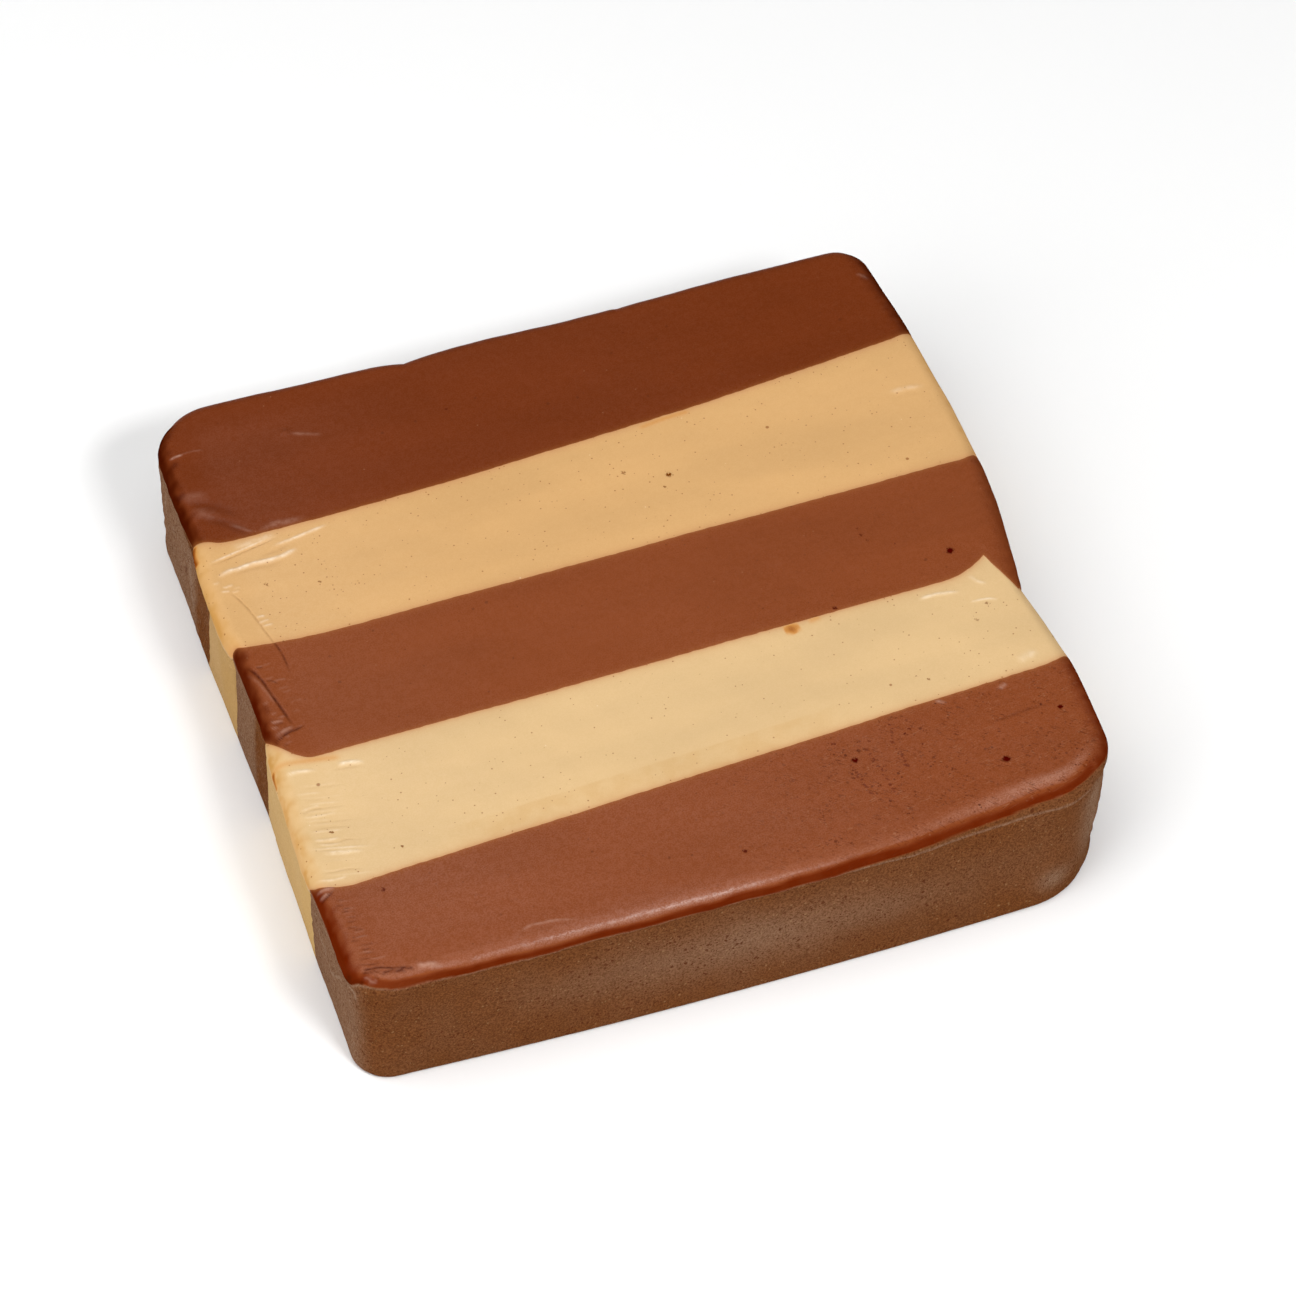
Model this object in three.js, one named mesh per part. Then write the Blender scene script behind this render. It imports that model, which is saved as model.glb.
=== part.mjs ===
// A square block of nougat in five layers, cocoa-brown and pale in turn, that run through it side by side.
// Millimetres, +Z up. X runs along the layers and Y across them, with the back at +Y.
// The origin is the middle of the foot, on the surface that the block lies on.
import * as THREE from "three";

// Driving dimensions of the block
const height = 19; // foot to the flat of the top
const halfLength = 48.5; // from the middle to an end, before each layer's own reach
const shoulderRadius = 2; // rounding between the top and the walls
const footRadius = 0.7; // rounding between the walls and the foot
const lipProud = 0.15; // how far the moulded lip stands out from the wall under it
const lipHeight = 0.8; // of the lip, under the shoulder
const seamLean = 2.2; // how much further back a seam meets the foot than the rim
const lapFade = 11; // how far in from an end a seam's lap dies out
const edgeZone = 9.5; // strip along each edge that holds the roundings
const cornerRadius = {
  backLeft: { rim: 7, foot: 7 },
  backRight: { rim: 4, foot: 4 },
  frontLeft: { rim: 4.5, foot: 4.5 },
  frontRight: { rim: 8, foot: 11 },
};

const rim = height - shoulderRadius; // where the shoulder meets the wall
const shoulderArc = (shoulderRadius * Math.PI) / 2;

// How far the back and front walls reach from the middle, halfway along, and how much less at their ends
const backWall = { rim: 47.5, foot: 47.5, bowRim: 0.1, bowFoot: 0.3 };
const frontWall = { rim: 47.65, foot: 48.35, bowRim: 0.25, bowFoot: 1.25 };
const backSwell = { reach: 0.75, from: 8, to: 40 }; // the back wall stands out towards its right end
const frontPress = { depth: 1.5, from: 16, to: 36 }; // and the front rim is pressed in towards its right end
const backDent = { x: -15.5, depth: 0.6, steep: 2.5, long: 11 }; // a shallow press mark in the back shoulder

// The back wall, the four seams and the front wall, from back to front. A seam crosses the middle at
// Y = middle and runs on with slope and bow. At each end, rim and foot give how far the block reaches there
// from the middle. A seam's curl is how far it turns to the back over the last curlRun, and its lap is how far
// it shifts to the back on the end wall, between lapFrom and lapTo along the profile from the top's edge down.
const lines = [
  {
    left: { rim: 47.6, foot: 48.6 },
    right: { rim: 46.85, foot: 46.6 },
  },
  {
    middle: 25.5,
    slope: 0.072,
    bow: 0.0006,
    left: { rim: 47.85, foot: 48.6, curl: 2, curlRun: 4.5, lap: -7.3, lapFrom: 3.1, lapTo: 3.9 },
    right: { rim: 48.55, foot: 47.9, curl: 0.4, curlRun: 4, lap: -2, lapFrom: 2, lapTo: 4.5 },
  },
  {
    middle: 6.55,
    slope: 0.026,
    bow: 0,
    left: { rim: 47.9, foot: 48.35, curl: 1.3, curlRun: 14, lap: -0.75, lapFrom: 1.8, lapTo: 3.9 },
    right: { rim: 49.05, foot: 48.3, curl: 0.9, curlRun: 3, lap: -5, lapFrom: 2, lapTo: 3.7 },
  },
  {
    middle: -11.5,
    slope: 0.027,
    bow: 0,
    left: { rim: 47.95, foot: 48.1, curl: 5, curlRun: 5, lap: 0.7, lapFrom: 1.8, lapTo: 3.9 },
    right: { rim: 46.35, foot: 46.6, curl: 2, curlRun: 22, lap: -5.4, lapFrom: 0.1, lapTo: 3.1 },
  },
  {
    middle: -29.6,
    slope: 0.063,
    bow: 0,
    left: { rim: 48.9, foot: 48.6, curl: 1.8, curlRun: 5, lap: 1.2, lapFrom: 1.8, lapTo: 3.9 },
    right: { rim: 47.8, foot: 47.1, curl: 0.5, curlRun: 4, lap: -1, lapFrom: 2, lapTo: 3.7 },
  },
  {
    left: { rim: 48.35, foot: 48.6 },
    right: { rim: 46.2, foot: 46 },
  },
];

// The layers from back to front. Each end swells between its two seams by leftSwell and rightSwell.
const layers = [
  { name: "dark_back", colour: 0x733319, roughness: 0.42, leftSwell: 0.65, rightSwell: 0.25 },
  { name: "light_back", colour: 0xe0af74, roughness: 0.45, leftSwell: 0.95, rightSwell: 0.2 },
  { name: "dark_middle", colour: 0x8a492a, roughness: 0.42, leftSwell: 0.05, rightSwell: 0.45 },
  { name: "light_front", colour: 0xe8c594, roughness: 0.45, leftSwell: 0.5, rightSwell: 0.1 },
  { name: "dark_front", colour: 0x8f5033, roughness: 0.42, leftSwell: 0.05, rightSwell: 0.4 },
];

// How finely each stretch of the surface is divided
const shoulderSteps = 4;
const zoneSteps = 3;
const lengthSteps = 16;
const seamSteps = 4; // across a layer between its two seams
const zoneCrowding = 1.5; // over 1 sets the lines of an edge zone closer together by the shoulder
const footBreak = 0.3; // share of the foot's rounding at which it is broken into two flats
const wallLevels = [0.36, 0.68]; // shares of the rim's height with a line round the wall

const lerp = THREE.MathUtils.lerp;
const smooth = THREE.MathUtils.smoothstep; // of a value between a low and a high limit

// Lines of the mesh, each a distance in from an edge or a share of the way between the two edge zones
function edgeDistances() {
  const distances = [];
  for (let step = 0; step <= shoulderSteps; step++) {
    const turn = ((Math.PI / 2) * step) / shoulderSteps;
    distances.push(shoulderRadius * (1 - Math.cos(turn)));
  }
  for (let step = 1; step <= zoneSteps; step++) {
    distances.push(lerp(shoulderRadius, edgeZone, (step / zoneSteps) ** zoneCrowding));
  }
  return distances;
}

function linesAlong() {
  const edges = edgeDistances();
  const left = edges.map((distance) => ({ fromLeft: distance }));
  const right = edges.map((distance) => ({ fromRight: distance })).reverse();
  const between = [];
  for (let step = 1; step < lengthSteps; step++) between.push({ share: step / lengthSteps });
  return [...left, ...between, ...right];
}

// Lines across one layer, from its back to its front. The outer layers have an edge zone on one side.
function linesAcross(number) {
  const shares = [];
  for (let step = 0; step <= seamSteps; step++) shares.push({ share: step / seamSteps });
  const edges = edgeDistances();
  if (number === 0) return [...edges.map((distance) => ({ fromBack: distance })), ...shares.slice(1)];
  if (number === layers.length - 1) {
    return [...shares.slice(0, -1), ...edges.map((distance) => ({ fromFront: distance })).reverse()];
  }
  return shares;
}

// Heights of the mesh lines on the walls, as shares of the way from the foot up to the rim
function levels() {
  const foot = [0, footRadius * footBreak, footRadius].map((z) => z / rim);
  return [...foot, ...wallLevels, (rim - lipHeight) / rim, 1];
}

// How far a wall stands in from the rim's outline: under the lip, and where it rounds into the foot
function wallInset(level) {
  const below = footRadius - level * rim;
  const footRounding = below > 0 ? footRadius - Math.sqrt(footRadius ** 2 - below ** 2) : 0;
  return (level < 1 ? lipProud : 0) + footRounding;
}

// A distance from an edge, pressed inwards so that the lines near the edge make room for the wall's inset
function pressIn(distance, inset) {
  return distance < edgeZone ? inset + distance * (1 - inset / edgeZone) : distance;
}

// How far an end reaches from the middle, at a share of the way across one layer
function endReach(side, number, share, level) {
  const near = lines[number][side];
  const far = lines[number + 1][side];
  const swell = layers[number][side + "Swell"] * 2 * Math.sqrt(share * (1 - share));
  const atRim = lerp(near.rim, far.rim, share) + swell;
  return lerp(lerp(near.foot, far.foot, share), atRim, level);
}

// X of a line along the block, and its distances from both ends
function placeAlong(line, leftReach, rightReach, level) {
  const inset = wallInset(level);
  let x = lerp(edgeZone - leftReach, rightReach - edgeZone, line.share ?? 0);
  if (line.fromLeft !== undefined) x = pressIn(line.fromLeft, inset) - leftReach;
  if (line.fromRight !== undefined) x = rightReach - pressIn(line.fromRight, inset);
  return { x, toLeft: x + leftReach, toRight: rightReach - x };
}

// How far the back and front walls reach from the middle
function bowedReach(wall, x, level) {
  const offMiddle = (x / halfLength) ** 2;
  const atRim = wall.rim - wall.bowRim * offMiddle;
  const atFoot = wall.foot - wall.bowFoot * offMiddle;
  return lerp(atFoot, atRim, level);
}

function backReach(x, level) {
  const fromDent = x - backDent.x;
  const dentRun = fromDent < 0 ? backDent.steep : backDent.long;
  const dent = backDent.depth * Math.exp(-((fromDent / dentRun) ** 2)) * level;
  const swell = backSwell.reach * smooth(x, backSwell.from, backSwell.to);
  return bowedReach(backWall, x, level) + swell - dent;
}

function frontReach(x, level) {
  const press = frontPress.depth * smooth(x, frontPress.from, frontPress.to) * level;
  return bowedReach(frontWall, x, level) - press;
}

// How far along the profile a place is: over the shoulder from the top's edge, then down the wall
function profileRun(distance, level) {
  const turn = Math.acos(1 - Math.min(distance / shoulderRadius, 1));
  return shoulderArc - shoulderRadius * turn + (1 - level) * rim;
}

function endShift(end, distance, level) {
  const curl = end.curl * Math.max(0, 1 - distance / end.curlRun) ** 2;
  const lap = end.lap * smooth(profileRun(distance, level), end.lapFrom, end.lapTo);
  return curl + lap * (1 - smooth(distance, shoulderRadius, lapFade));
}

// Y of the back wall, a seam or the front wall, at a line along the block and a level
function lineY(number, along, level) {
  const owner = Math.min(number, layers.length - 1);
  const share = number - owner;
  const place = placeAlong(
    along,
    endReach("left", owner, share, level),
    endReach("right", owner, share, level),
    level,
  );
  if (number === 0) return backReach(place.x, level);
  if (number === layers.length) return -frontReach(place.x, level);
  const seam = lines[number];
  const course = seam.middle + seam.slope * place.x + seam.bow * place.x ** 2;
  const ends = endShift(seam.left, place.toLeft, level) + endShift(seam.right, place.toRight, level);
  return course + ends + seamLean * (1 - level);
}

// Distances from the two edges of a corner, turned so that the square corner becomes a round one
function roundCorner(radius, toEnd, toWall) {
  const overEnd = radius - toEnd;
  const overWall = radius - toWall;
  if (overEnd <= 0 || overWall <= 0) return [toEnd, toWall];
  const shrink = Math.max(overEnd, overWall) / Math.hypot(overEnd, overWall);
  return [radius - overEnd * shrink, radius - overWall * shrink];
}

// A point of one layer, from a line along, a line across and a level: the whole block follows this one rule
function pointOf(number, along, across, level) {
  const inset = wallInset(level);
  const backY = lineY(number, along, level);
  const frontY = lineY(number + 1, along, level);
  const first = number === 0;
  const last = number === layers.length - 1;
  let y = lerp(first ? backY - edgeZone : backY, last ? frontY + edgeZone : frontY, across.share ?? 0);
  if (across.fromBack !== undefined) y = backY - pressIn(across.fromBack, inset);
  if (across.fromFront !== undefined) y = frontY + pressIn(across.fromFront, inset);
  const wallY = first ? backY : frontY;
  const toWall = first || last ? Math.abs(wallY - y) : Infinity;

  const share = (backY - y) / (backY - frontY);
  const leftReach = endReach("left", number, share, level);
  const rightReach = endReach("right", number, share, level);
  const place = placeAlong(along, leftReach, rightReach, level);
  const nearest = Math.min(place.toLeft, place.toRight, toWall);
  const outward = THREE.MathUtils.clamp(1 - (nearest - inset) / shoulderRadius, 0, 1);
  const top = rim + shoulderRadius * Math.sqrt(1 - outward ** 2);

  let x = place.x;
  if (first || last) {
    const onLeft = place.toLeft < place.toRight;
    const corner = (first ? "back" : "front") + (onLeft ? "Left" : "Right");
    const toEnd = onLeft ? place.toLeft : place.toRight;
    const radius = lerp(cornerRadius[corner].foot, cornerRadius[corner].rim, level);
    const [endGap, wallGap] = roundCorner(radius, toEnd, toWall);
    x = onLeft ? endGap - leftReach : rightReach - endGap;
    y = first ? wallY - wallGap : wallY + wallGap;
  }
  return [x, y, level * top];
}

// One layer as a closed surface of six patches over the mesh lines
function layerGeometry(number) {
  const along = linesAlong();
  const across = linesAcross(number);
  const heights = levels();
  const last = { along: along.length - 1, across: across.length - 1, level: heights.length - 1 };
  const positions = [];
  const triangles = [];
  const known = new Map();

  function vertex(i, k, j) {
    const key = i + "," + k + "," + j;
    if (!known.has(key)) {
      known.set(key, positions.length / 3);
      positions.push(...pointOf(number, along[i], across[k], heights[j]));
    }
    return known.get(key);
  }

  function patch(rows, columns, at) {
    for (let a = 0; a < rows; a++) {
      for (let b = 0; b < columns; b++) {
        const [p, q, r, s] = [at(a, b), at(a + 1, b), at(a + 1, b + 1), at(a, b + 1)];
        triangles.push(p, q, r, p, r, s);
      }
    }
  }

  patch(last.across, last.along, (k, i) => vertex(i, k, last.level)); // top
  patch(last.along, last.across, (i, k) => vertex(i, k, 0)); // foot
  patch(last.across, last.level, (k, j) => vertex(0, k, j)); // left end
  patch(last.level, last.across, (j, k) => vertex(last.along, k, j)); // right end
  patch(last.level, last.along, (j, i) => vertex(i, 0, j)); // back wall or seam
  patch(last.along, last.level, (i, j) => vertex(i, last.across, j)); // front wall or seam

  const geometry = new THREE.BufferGeometry();
  geometry.setAttribute("position", new THREE.Float32BufferAttribute(positions, 3));
  geometry.setIndex(triangles);
  geometry.computeVertexNormals();
  return geometry;
}

const nougat = new THREE.Group();
layers.forEach((layer, number) => {
  const material = new THREE.MeshStandardMaterial({
    color: layer.colour,
    roughness: layer.roughness,
    metalness: 0,
  });
  const mesh = new THREE.Mesh(layerGeometry(number), material);
  mesh.name = layer.name;
  nougat.add(mesh);
});

export default nougat;
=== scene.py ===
import math

import bpy
import numpy as np
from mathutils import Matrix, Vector


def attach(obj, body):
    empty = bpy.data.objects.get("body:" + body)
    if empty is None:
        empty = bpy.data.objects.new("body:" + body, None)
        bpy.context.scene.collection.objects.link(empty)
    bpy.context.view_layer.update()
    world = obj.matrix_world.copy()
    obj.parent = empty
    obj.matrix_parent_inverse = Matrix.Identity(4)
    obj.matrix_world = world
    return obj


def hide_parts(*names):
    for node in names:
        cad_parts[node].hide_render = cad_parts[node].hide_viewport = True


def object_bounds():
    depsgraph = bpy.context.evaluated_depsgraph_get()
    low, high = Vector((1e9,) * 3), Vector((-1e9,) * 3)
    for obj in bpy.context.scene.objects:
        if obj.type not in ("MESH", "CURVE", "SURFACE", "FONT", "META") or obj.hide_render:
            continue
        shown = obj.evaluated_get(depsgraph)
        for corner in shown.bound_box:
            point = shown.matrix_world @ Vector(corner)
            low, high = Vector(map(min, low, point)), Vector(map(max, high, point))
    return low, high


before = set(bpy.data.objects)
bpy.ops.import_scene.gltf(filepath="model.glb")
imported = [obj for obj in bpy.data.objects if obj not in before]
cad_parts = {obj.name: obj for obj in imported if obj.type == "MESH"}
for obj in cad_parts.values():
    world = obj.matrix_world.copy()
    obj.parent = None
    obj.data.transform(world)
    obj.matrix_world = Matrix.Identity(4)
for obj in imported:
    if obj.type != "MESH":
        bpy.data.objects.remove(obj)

cadLow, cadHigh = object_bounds()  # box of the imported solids, in metres
mm = 0.001  # sizes below are in millimetres


# Form of the block: the same rule as the solids, worked out for many points at once

block = {
    "height": (cadHigh.z - cadLow.z) / mm,
    "halfLength": 48.5,
    "shoulder": 2.0,  # radius between top and walls
    "footRound": 0.7,
    "lipProud": 0.15,  # the lip stands this far out from the wall
    "lipHeight": 0.8,
    "seamLean": 2.2,  # a seam meets the foot this much further back
    "lapFade": 11.0,
    "edgeZone": 9.5,
    "backWall": {"rim": 47.5, "foot": 47.5, "bowRim": 0.1, "bowFoot": 0.3},
    "frontWall": {"rim": 47.65, "foot": 48.35, "bowRim": 0.25, "bowFoot": 1.25},
    "backSwell": {"reach": 0.75, "from": 8, "to": 40},
    "frontPress": {"depth": 1.5, "from": 16, "to": 36},
    "backDents": [
        {"x": -14.6, "depth": 0.85, "left": 2.3, "right": 4.6},
        {"x": 14.0, "depth": 0.22, "left": 0.5, "right": 1.4},
    ],
    "corners": {  # radius at the rim and at the foot
        "backLeft": (7, 7),
        "backRight": (4, 4),
        "frontLeft": (4.5, 4.5),
        "frontRight": (8, 11),
    },
}
rim = block["height"] - block["shoulder"]  # where the shoulder meets the wall
farAway = 99.0  # for a layer without such an edge
shoulderArc = block["shoulder"] * math.pi / 2

# The back wall, the four seams and the front wall, from back to front. At an end a seam curls to the
# back over the last curlRun, and its lap shifts it between two places along the profile.
lines = [
    {
        "left": {"rim": 47.6, "foot": 48.6},
        "right": {"rim": 46.85, "foot": 46.6},
    },
    {
        "middle": 25.5,
        "slope": 0.072,
        "bow": 0.0006,
        "left": {"rim": 47.85, "foot": 48.6, "curl": 2, "curlRun": 4.5, "lap": -7.3, "lapAt": (3.1, 3.9)},
        "right": {"rim": 48.55, "foot": 47.9, "curl": 0.4, "curlRun": 4, "lap": -2, "lapAt": (2, 4.5)},
    },
    {
        "middle": 6.55,
        "slope": 0.026,
        "bow": 0,
        "left": {"rim": 47.9, "foot": 48.35, "curl": 1.3, "curlRun": 14, "lap": -1.2,
                 "lapAt": (2.7, 3.9), "tuck": 0.6, "tuckAt": (0.4, 1.9)},
        "right": {"rim": 49.05, "foot": 48.3, "curl": 0.9, "curlRun": 3, "lap": -4.6, "lapAt": (1.5, 5.2)},
    },
    {
        "middle": -11.5,
        "slope": 0.027,
        "bow": 0,
        "left": {"rim": 47.95, "foot": 48.1, "curl": 5, "curlRun": 5, "lap": 0.7, "lapAt": (1.8, 3.9)},
        "right": {"rim": 46.15, "foot": 46.6, "curl": 4.9, "curlRun": 9.1, "lap": -8.0,
                  "lapAt": (-0.8, 1.5), "sharp": 0.8},
    },
    {
        "middle": -29.6,
        "slope": 0.063,
        "bow": 0,
        "left": {"rim": 48.9, "foot": 48.6, "curl": 1.8, "curlRun": 5, "lap": 1.2, "lapAt": (1.8, 3.9)},
        "right": {"rim": 47.6, "foot": 47.2, "curl": 1.0, "curlRun": 4, "lap": -1, "lapAt": (2, 3.7)},
    },
    {
        "left": {"rim": 48.35, "foot": 48.6},
        "right": {"rim": 46.65, "foot": 46.5},
    },
]

# The layers from back to front: how far each end swells, and the layer's own looks
darkLooks = {
    "slot": "dark_nougat",
    "top": (0.226, 0.055, 0.0155),
    # deep colour of the shoulders, partly painted shade
    "edge": (0.068, 0.0055, 0.0003),
    "seam": (0.295, 0.098, 0.030),  # where it meets a pale layer
    "wall": (0.143, 0.0485, 0.0147),
    "bloomAndSheen": (0.27, 0.17, 0.11),
    "speck": (0.07, 0.016, 0.005),
    "grit": (0.36, 0.20, 0.085),
    "glint": (0.36, 0.16, 0.085),
    "stain": (0.10, 0.02, 0.004),
    "smear": (0.06, 0.018, 0.006),
    # dark paint for creases, nicks and hole rims, where it is painted shade, and for dark scratches
    "crease": (0.062, 0.0075, 0.0006),
    "sheen": (0.50, 0.29, 0.215),
    # painted shade inside the air holes and pits
    "hole": (0.062, 0.0012, 0.0001),
    "speckShare": 0.3,
    "coarseShare": 0.3,
    "speckMost": 0.4,
    "glintShare": 0.16,
    "sheenMost": 0.75,
    "creaseMost": 0.95,
    "blotch": (0.9, 1.0),  # the deep edge colour and its painted shade come and go between these shares
    "leftEdge": (0.0, 2.1),  # and begins and is full at these places along the shoulder
    "rightEdge": (-1.0, 2.6),
    "rightDeep": 1.0,
    "tone": (0.96, 1.035),  # least and most of the fine change of tone
    "grain": 0.014,  # mm of fine bumps on the top
    "gloss": 0.35,
    "leftBloomAndSheen": 0.45,  # left end greyer than the front: partly bloom, partly painted reflection
    "poreMost": 0.75,
    "wallTone": (0.68, 1.27),
    "wallScuff": 0.55,  # streaks on the left end
    "haloWidth": 0.3,  # the seam's colour dies out over this length
    # share of painted sheen all over the top
    "haze": 0.004,
    "scuff": 0.15,  # nicks and scratches in the top
}
lightLooks = {
    "slot": "light_nougat",
    "top": (0.65, 0.38, 0.157),
    # deep colour of the shoulders, partly painted shade
    "edge": (0.53, 0.275, 0.075),
    "seam": (0.51, 0.235, 0.10),
    "wall": (0.44, 0.265, 0.10),
    "bloomAndSheen": (0.56, 0.42, 0.28),
    "speck": (0.24, 0.06, 0.004),
    "grit": (0.60, 0.42, 0.20),
    "glint": (0.85, 0.68, 0.47),
    "stain": (0.64, 0.29, 0.07),
    "smear": (0.24, 0.05, 0.004),
    # dark paint for creases and hole rims, where it is painted shade
    "crease": (0.33, 0.145, 0.042),
    "sheen": (0.96, 0.85, 0.68),
    # painted shade inside the air holes
    "hole": (0.15, 0.035, 0.0005),
    "speckShare": 0.7,
    "coarseShare": 0.08,
    "speckMost": 0.7,
    "glintShare": 0.1,
    "sheenMost": 0.6,
    "creaseMost": 0.6,
    "blotch": (0.35, 1.0),
    "leftEdge": (0.5, 2.4),
    "rightEdge": (0.4, 2.6),
    "rightDeep": 0.8,
    "tone": (0.987, 1.01),
    "grain": 0.01,
    "gloss": 0.4,
    "leftBloomAndSheen": 0.1,
    "poreMost": 0.15,
    "wallTone": (0.93, 1.07),
    "wallScuff": 0.12,
    "haloWidth": 0.45,
    "haze": 0.0,
    "scuff": 0.0,
}
# the back layer is darker: partly painted shade, as less light and sheen fall on it
darkBackLooks = {
    **darkLooks,
    "top": (0.162, 0.031, 0.0062),
    "edge": (0.05, 0.0045, 0.0003),
    "seam": (0.25, 0.076, 0.018),
    "gloss": 0.25,
    "haze": 0.008,
}
darkMiddleLooks = {**darkLooks, "rightDeep": 0.45}
# the front pale layer is paler: partly painted light, as more light falls on it
lightFrontLooks = {
    **lightLooks,
    "top": (0.675, 0.46, 0.23),
    "wall": (0.52, 0.33, 0.13),
    "leftEdge": (-0.3, 2.2),
    "rightDeep": 0.1,
    "speckShare": 0.5,
}
# the front layer carries more painted sheen
darkFrontLooks = {
    **darkLooks,
    "edge": (0.108, 0.0098, 0.0004),
    "gloss": 0.5,
    "tone": (0.945, 1.045),
    "haze": 0.025,
    "scuff": 0.8,
}
layers = [
    {"name": "dark_back", "leftSwell": 0.65, "rightSwell": 0.25, "looks": darkBackLooks},
    {"name": "light_back", "leftSwell": 0.95, "rightSwell": 0.2, "looks": lightLooks},
    {"name": "dark_middle", "leftSwell": 0.05, "rightSwell": 0.45, "looks": darkMiddleLooks},
    {"name": "light_front", "leftSwell": 0.5, "rightSwell": 0.1, "looks": lightFrontLooks},
    {"name": "dark_front", "leftSwell": 0.05, "rightSwell": 0.4, "looks": darkFrontLooks},
]
lastLayer = len(layers) - 1
seamWave = {"height": 0.018, "length": 1.3, "seed": 31}  # the seams aren't drawn with a ruler


def smooth(value, low, high):
    share = np.clip((value - low) / (high - low), 0, 1)
    return share * share * (3 - 2 * share)


def lerp(low, high, share):
    return low + (high - low) * share


def wallInset(level):  # how far a wall stands in from the rim's outline
    radius = block["footRound"]
    below = np.clip(radius - level * rim, 0, radius)
    lip = block["lipProud"] * smooth((1 - level) * rim, 0, block["lipHeight"])
    return lip + radius - np.sqrt(radius**2 - below**2)


def pressIn(distance, inset):
    zone = block["edgeZone"]
    return np.where(distance < zone, inset + distance * (1 - inset / zone), distance)


def endReach(side, number, share, level):
    near, far = lines[number][side], lines[number + 1][side]
    swell = layers[number][side + "Swell"] * 2 * np.sqrt(np.clip(share * (1 - share), 0, None))
    atRim = lerp(near["rim"], far["rim"], share) + swell
    return lerp(lerp(near["foot"], far["foot"], share), atRim, level)


def placeAlong(along, leftReach, rightReach, level):  # X of a line, and its distances from both ends
    inset = wallInset(level)
    zone = block["edgeZone"]
    between = lerp(zone - leftReach, rightReach - zone, along["value"])
    onLeft = pressIn(along["value"], inset) - leftReach
    onRight = rightReach - pressIn(along["value"], inset)
    x = np.select([along["side"] < 0, along["side"] > 0], [onLeft, onRight], between)
    return x, x + leftReach, rightReach - x


def bowedReach(wall, x, level):
    offMiddle = (x / block["halfLength"]) ** 2
    atFoot = wall["foot"] - wall["bowFoot"] * offMiddle
    return lerp(atFoot, wall["rim"] - wall["bowRim"] * offMiddle, level)


def backReach(x, level):
    swell = block["backSwell"]
    swollen = swell["reach"] * smooth(x, swell["from"], swell["to"])
    reach = bowedReach(block["backWall"], x, level) + swollen
    for dent in block["backDents"]:
        away = x - dent["x"]
        run = np.where(away < 0, dent["left"], dent["right"])
        reach = reach - dent["depth"] * np.exp(-np.abs(away) / run) * level
    return reach


def frontReach(x, level):
    press = block["frontPress"]
    pressed = press["depth"] * smooth(x, press["from"], press["to"]) * level
    return bowedReach(block["frontWall"], x, level) - pressed


def profileRun(distance, level):  # along the profile: below 0 on the flat, then the shoulder and the wall
    radius = block["shoulder"]
    turn = np.arccos(1 - np.clip(distance / radius, 0, 1))
    return shoulderArc - radius * turn - np.clip(distance - radius, 0, None) + (1 - level) * rim


def endShift(end, distance, level):
    curl = end["curl"] * np.clip(1 - distance / end["curlRun"], 0, None) ** 2
    start, stop = end["lapAt"]
    run = profileRun(distance, level)
    share = np.clip((run - start) / (stop - start), 0, 1)
    share = share ** end["sharp"] if "sharp" in end else smooth(share, 0, 1)
    tuck = end["tuck"] * smooth(run, *end["tuckAt"]) if "tuck" in end else 0
    fade = 1 - smooth(distance, block["shoulder"], block["lapFade"])
    return curl + (tuck + end["lap"] * share) * fade


def lineY(number, along, level):  # Y of a wall or a seam
    owner = min(number, lastLayer)
    share = np.full(level.shape, float(number - owner))
    leftReach = endReach("left", owner, share, level)
    rightReach = endReach("right", owner, share, level)
    x, toLeft, toRight = placeAlong(along, leftReach, rightReach, level)
    if number == 0:
        return backReach(x, level)
    if number > lastLayer:
        return -frontReach(x, level)
    seam = lines[number]
    course = seam["middle"] + seam["slope"] * x + seam["bow"] * x**2
    ends = endShift(seam["left"], toLeft, level) + endShift(seam["right"], toRight, level)
    wave = ripple(x[:, None] * [1, 0, 0], seamWave["length"], seamWave["seed"] + number)
    return course + ends + seamWave["height"] * wave + block["seamLean"] * (1 - level)


def roundCorner(radius, toEnd, toWall):
    overEnd, overWall = radius - toEnd, radius - toWall
    inCorner = (overEnd > 0) & (overWall > 0)
    shrink = np.maximum(overEnd, overWall) / np.maximum(np.hypot(overEnd, overWall), 1e-9)
    shrink = np.where(inCorner, shrink, 1)
    return radius - overEnd * shrink, radius - overWall * shrink


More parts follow.
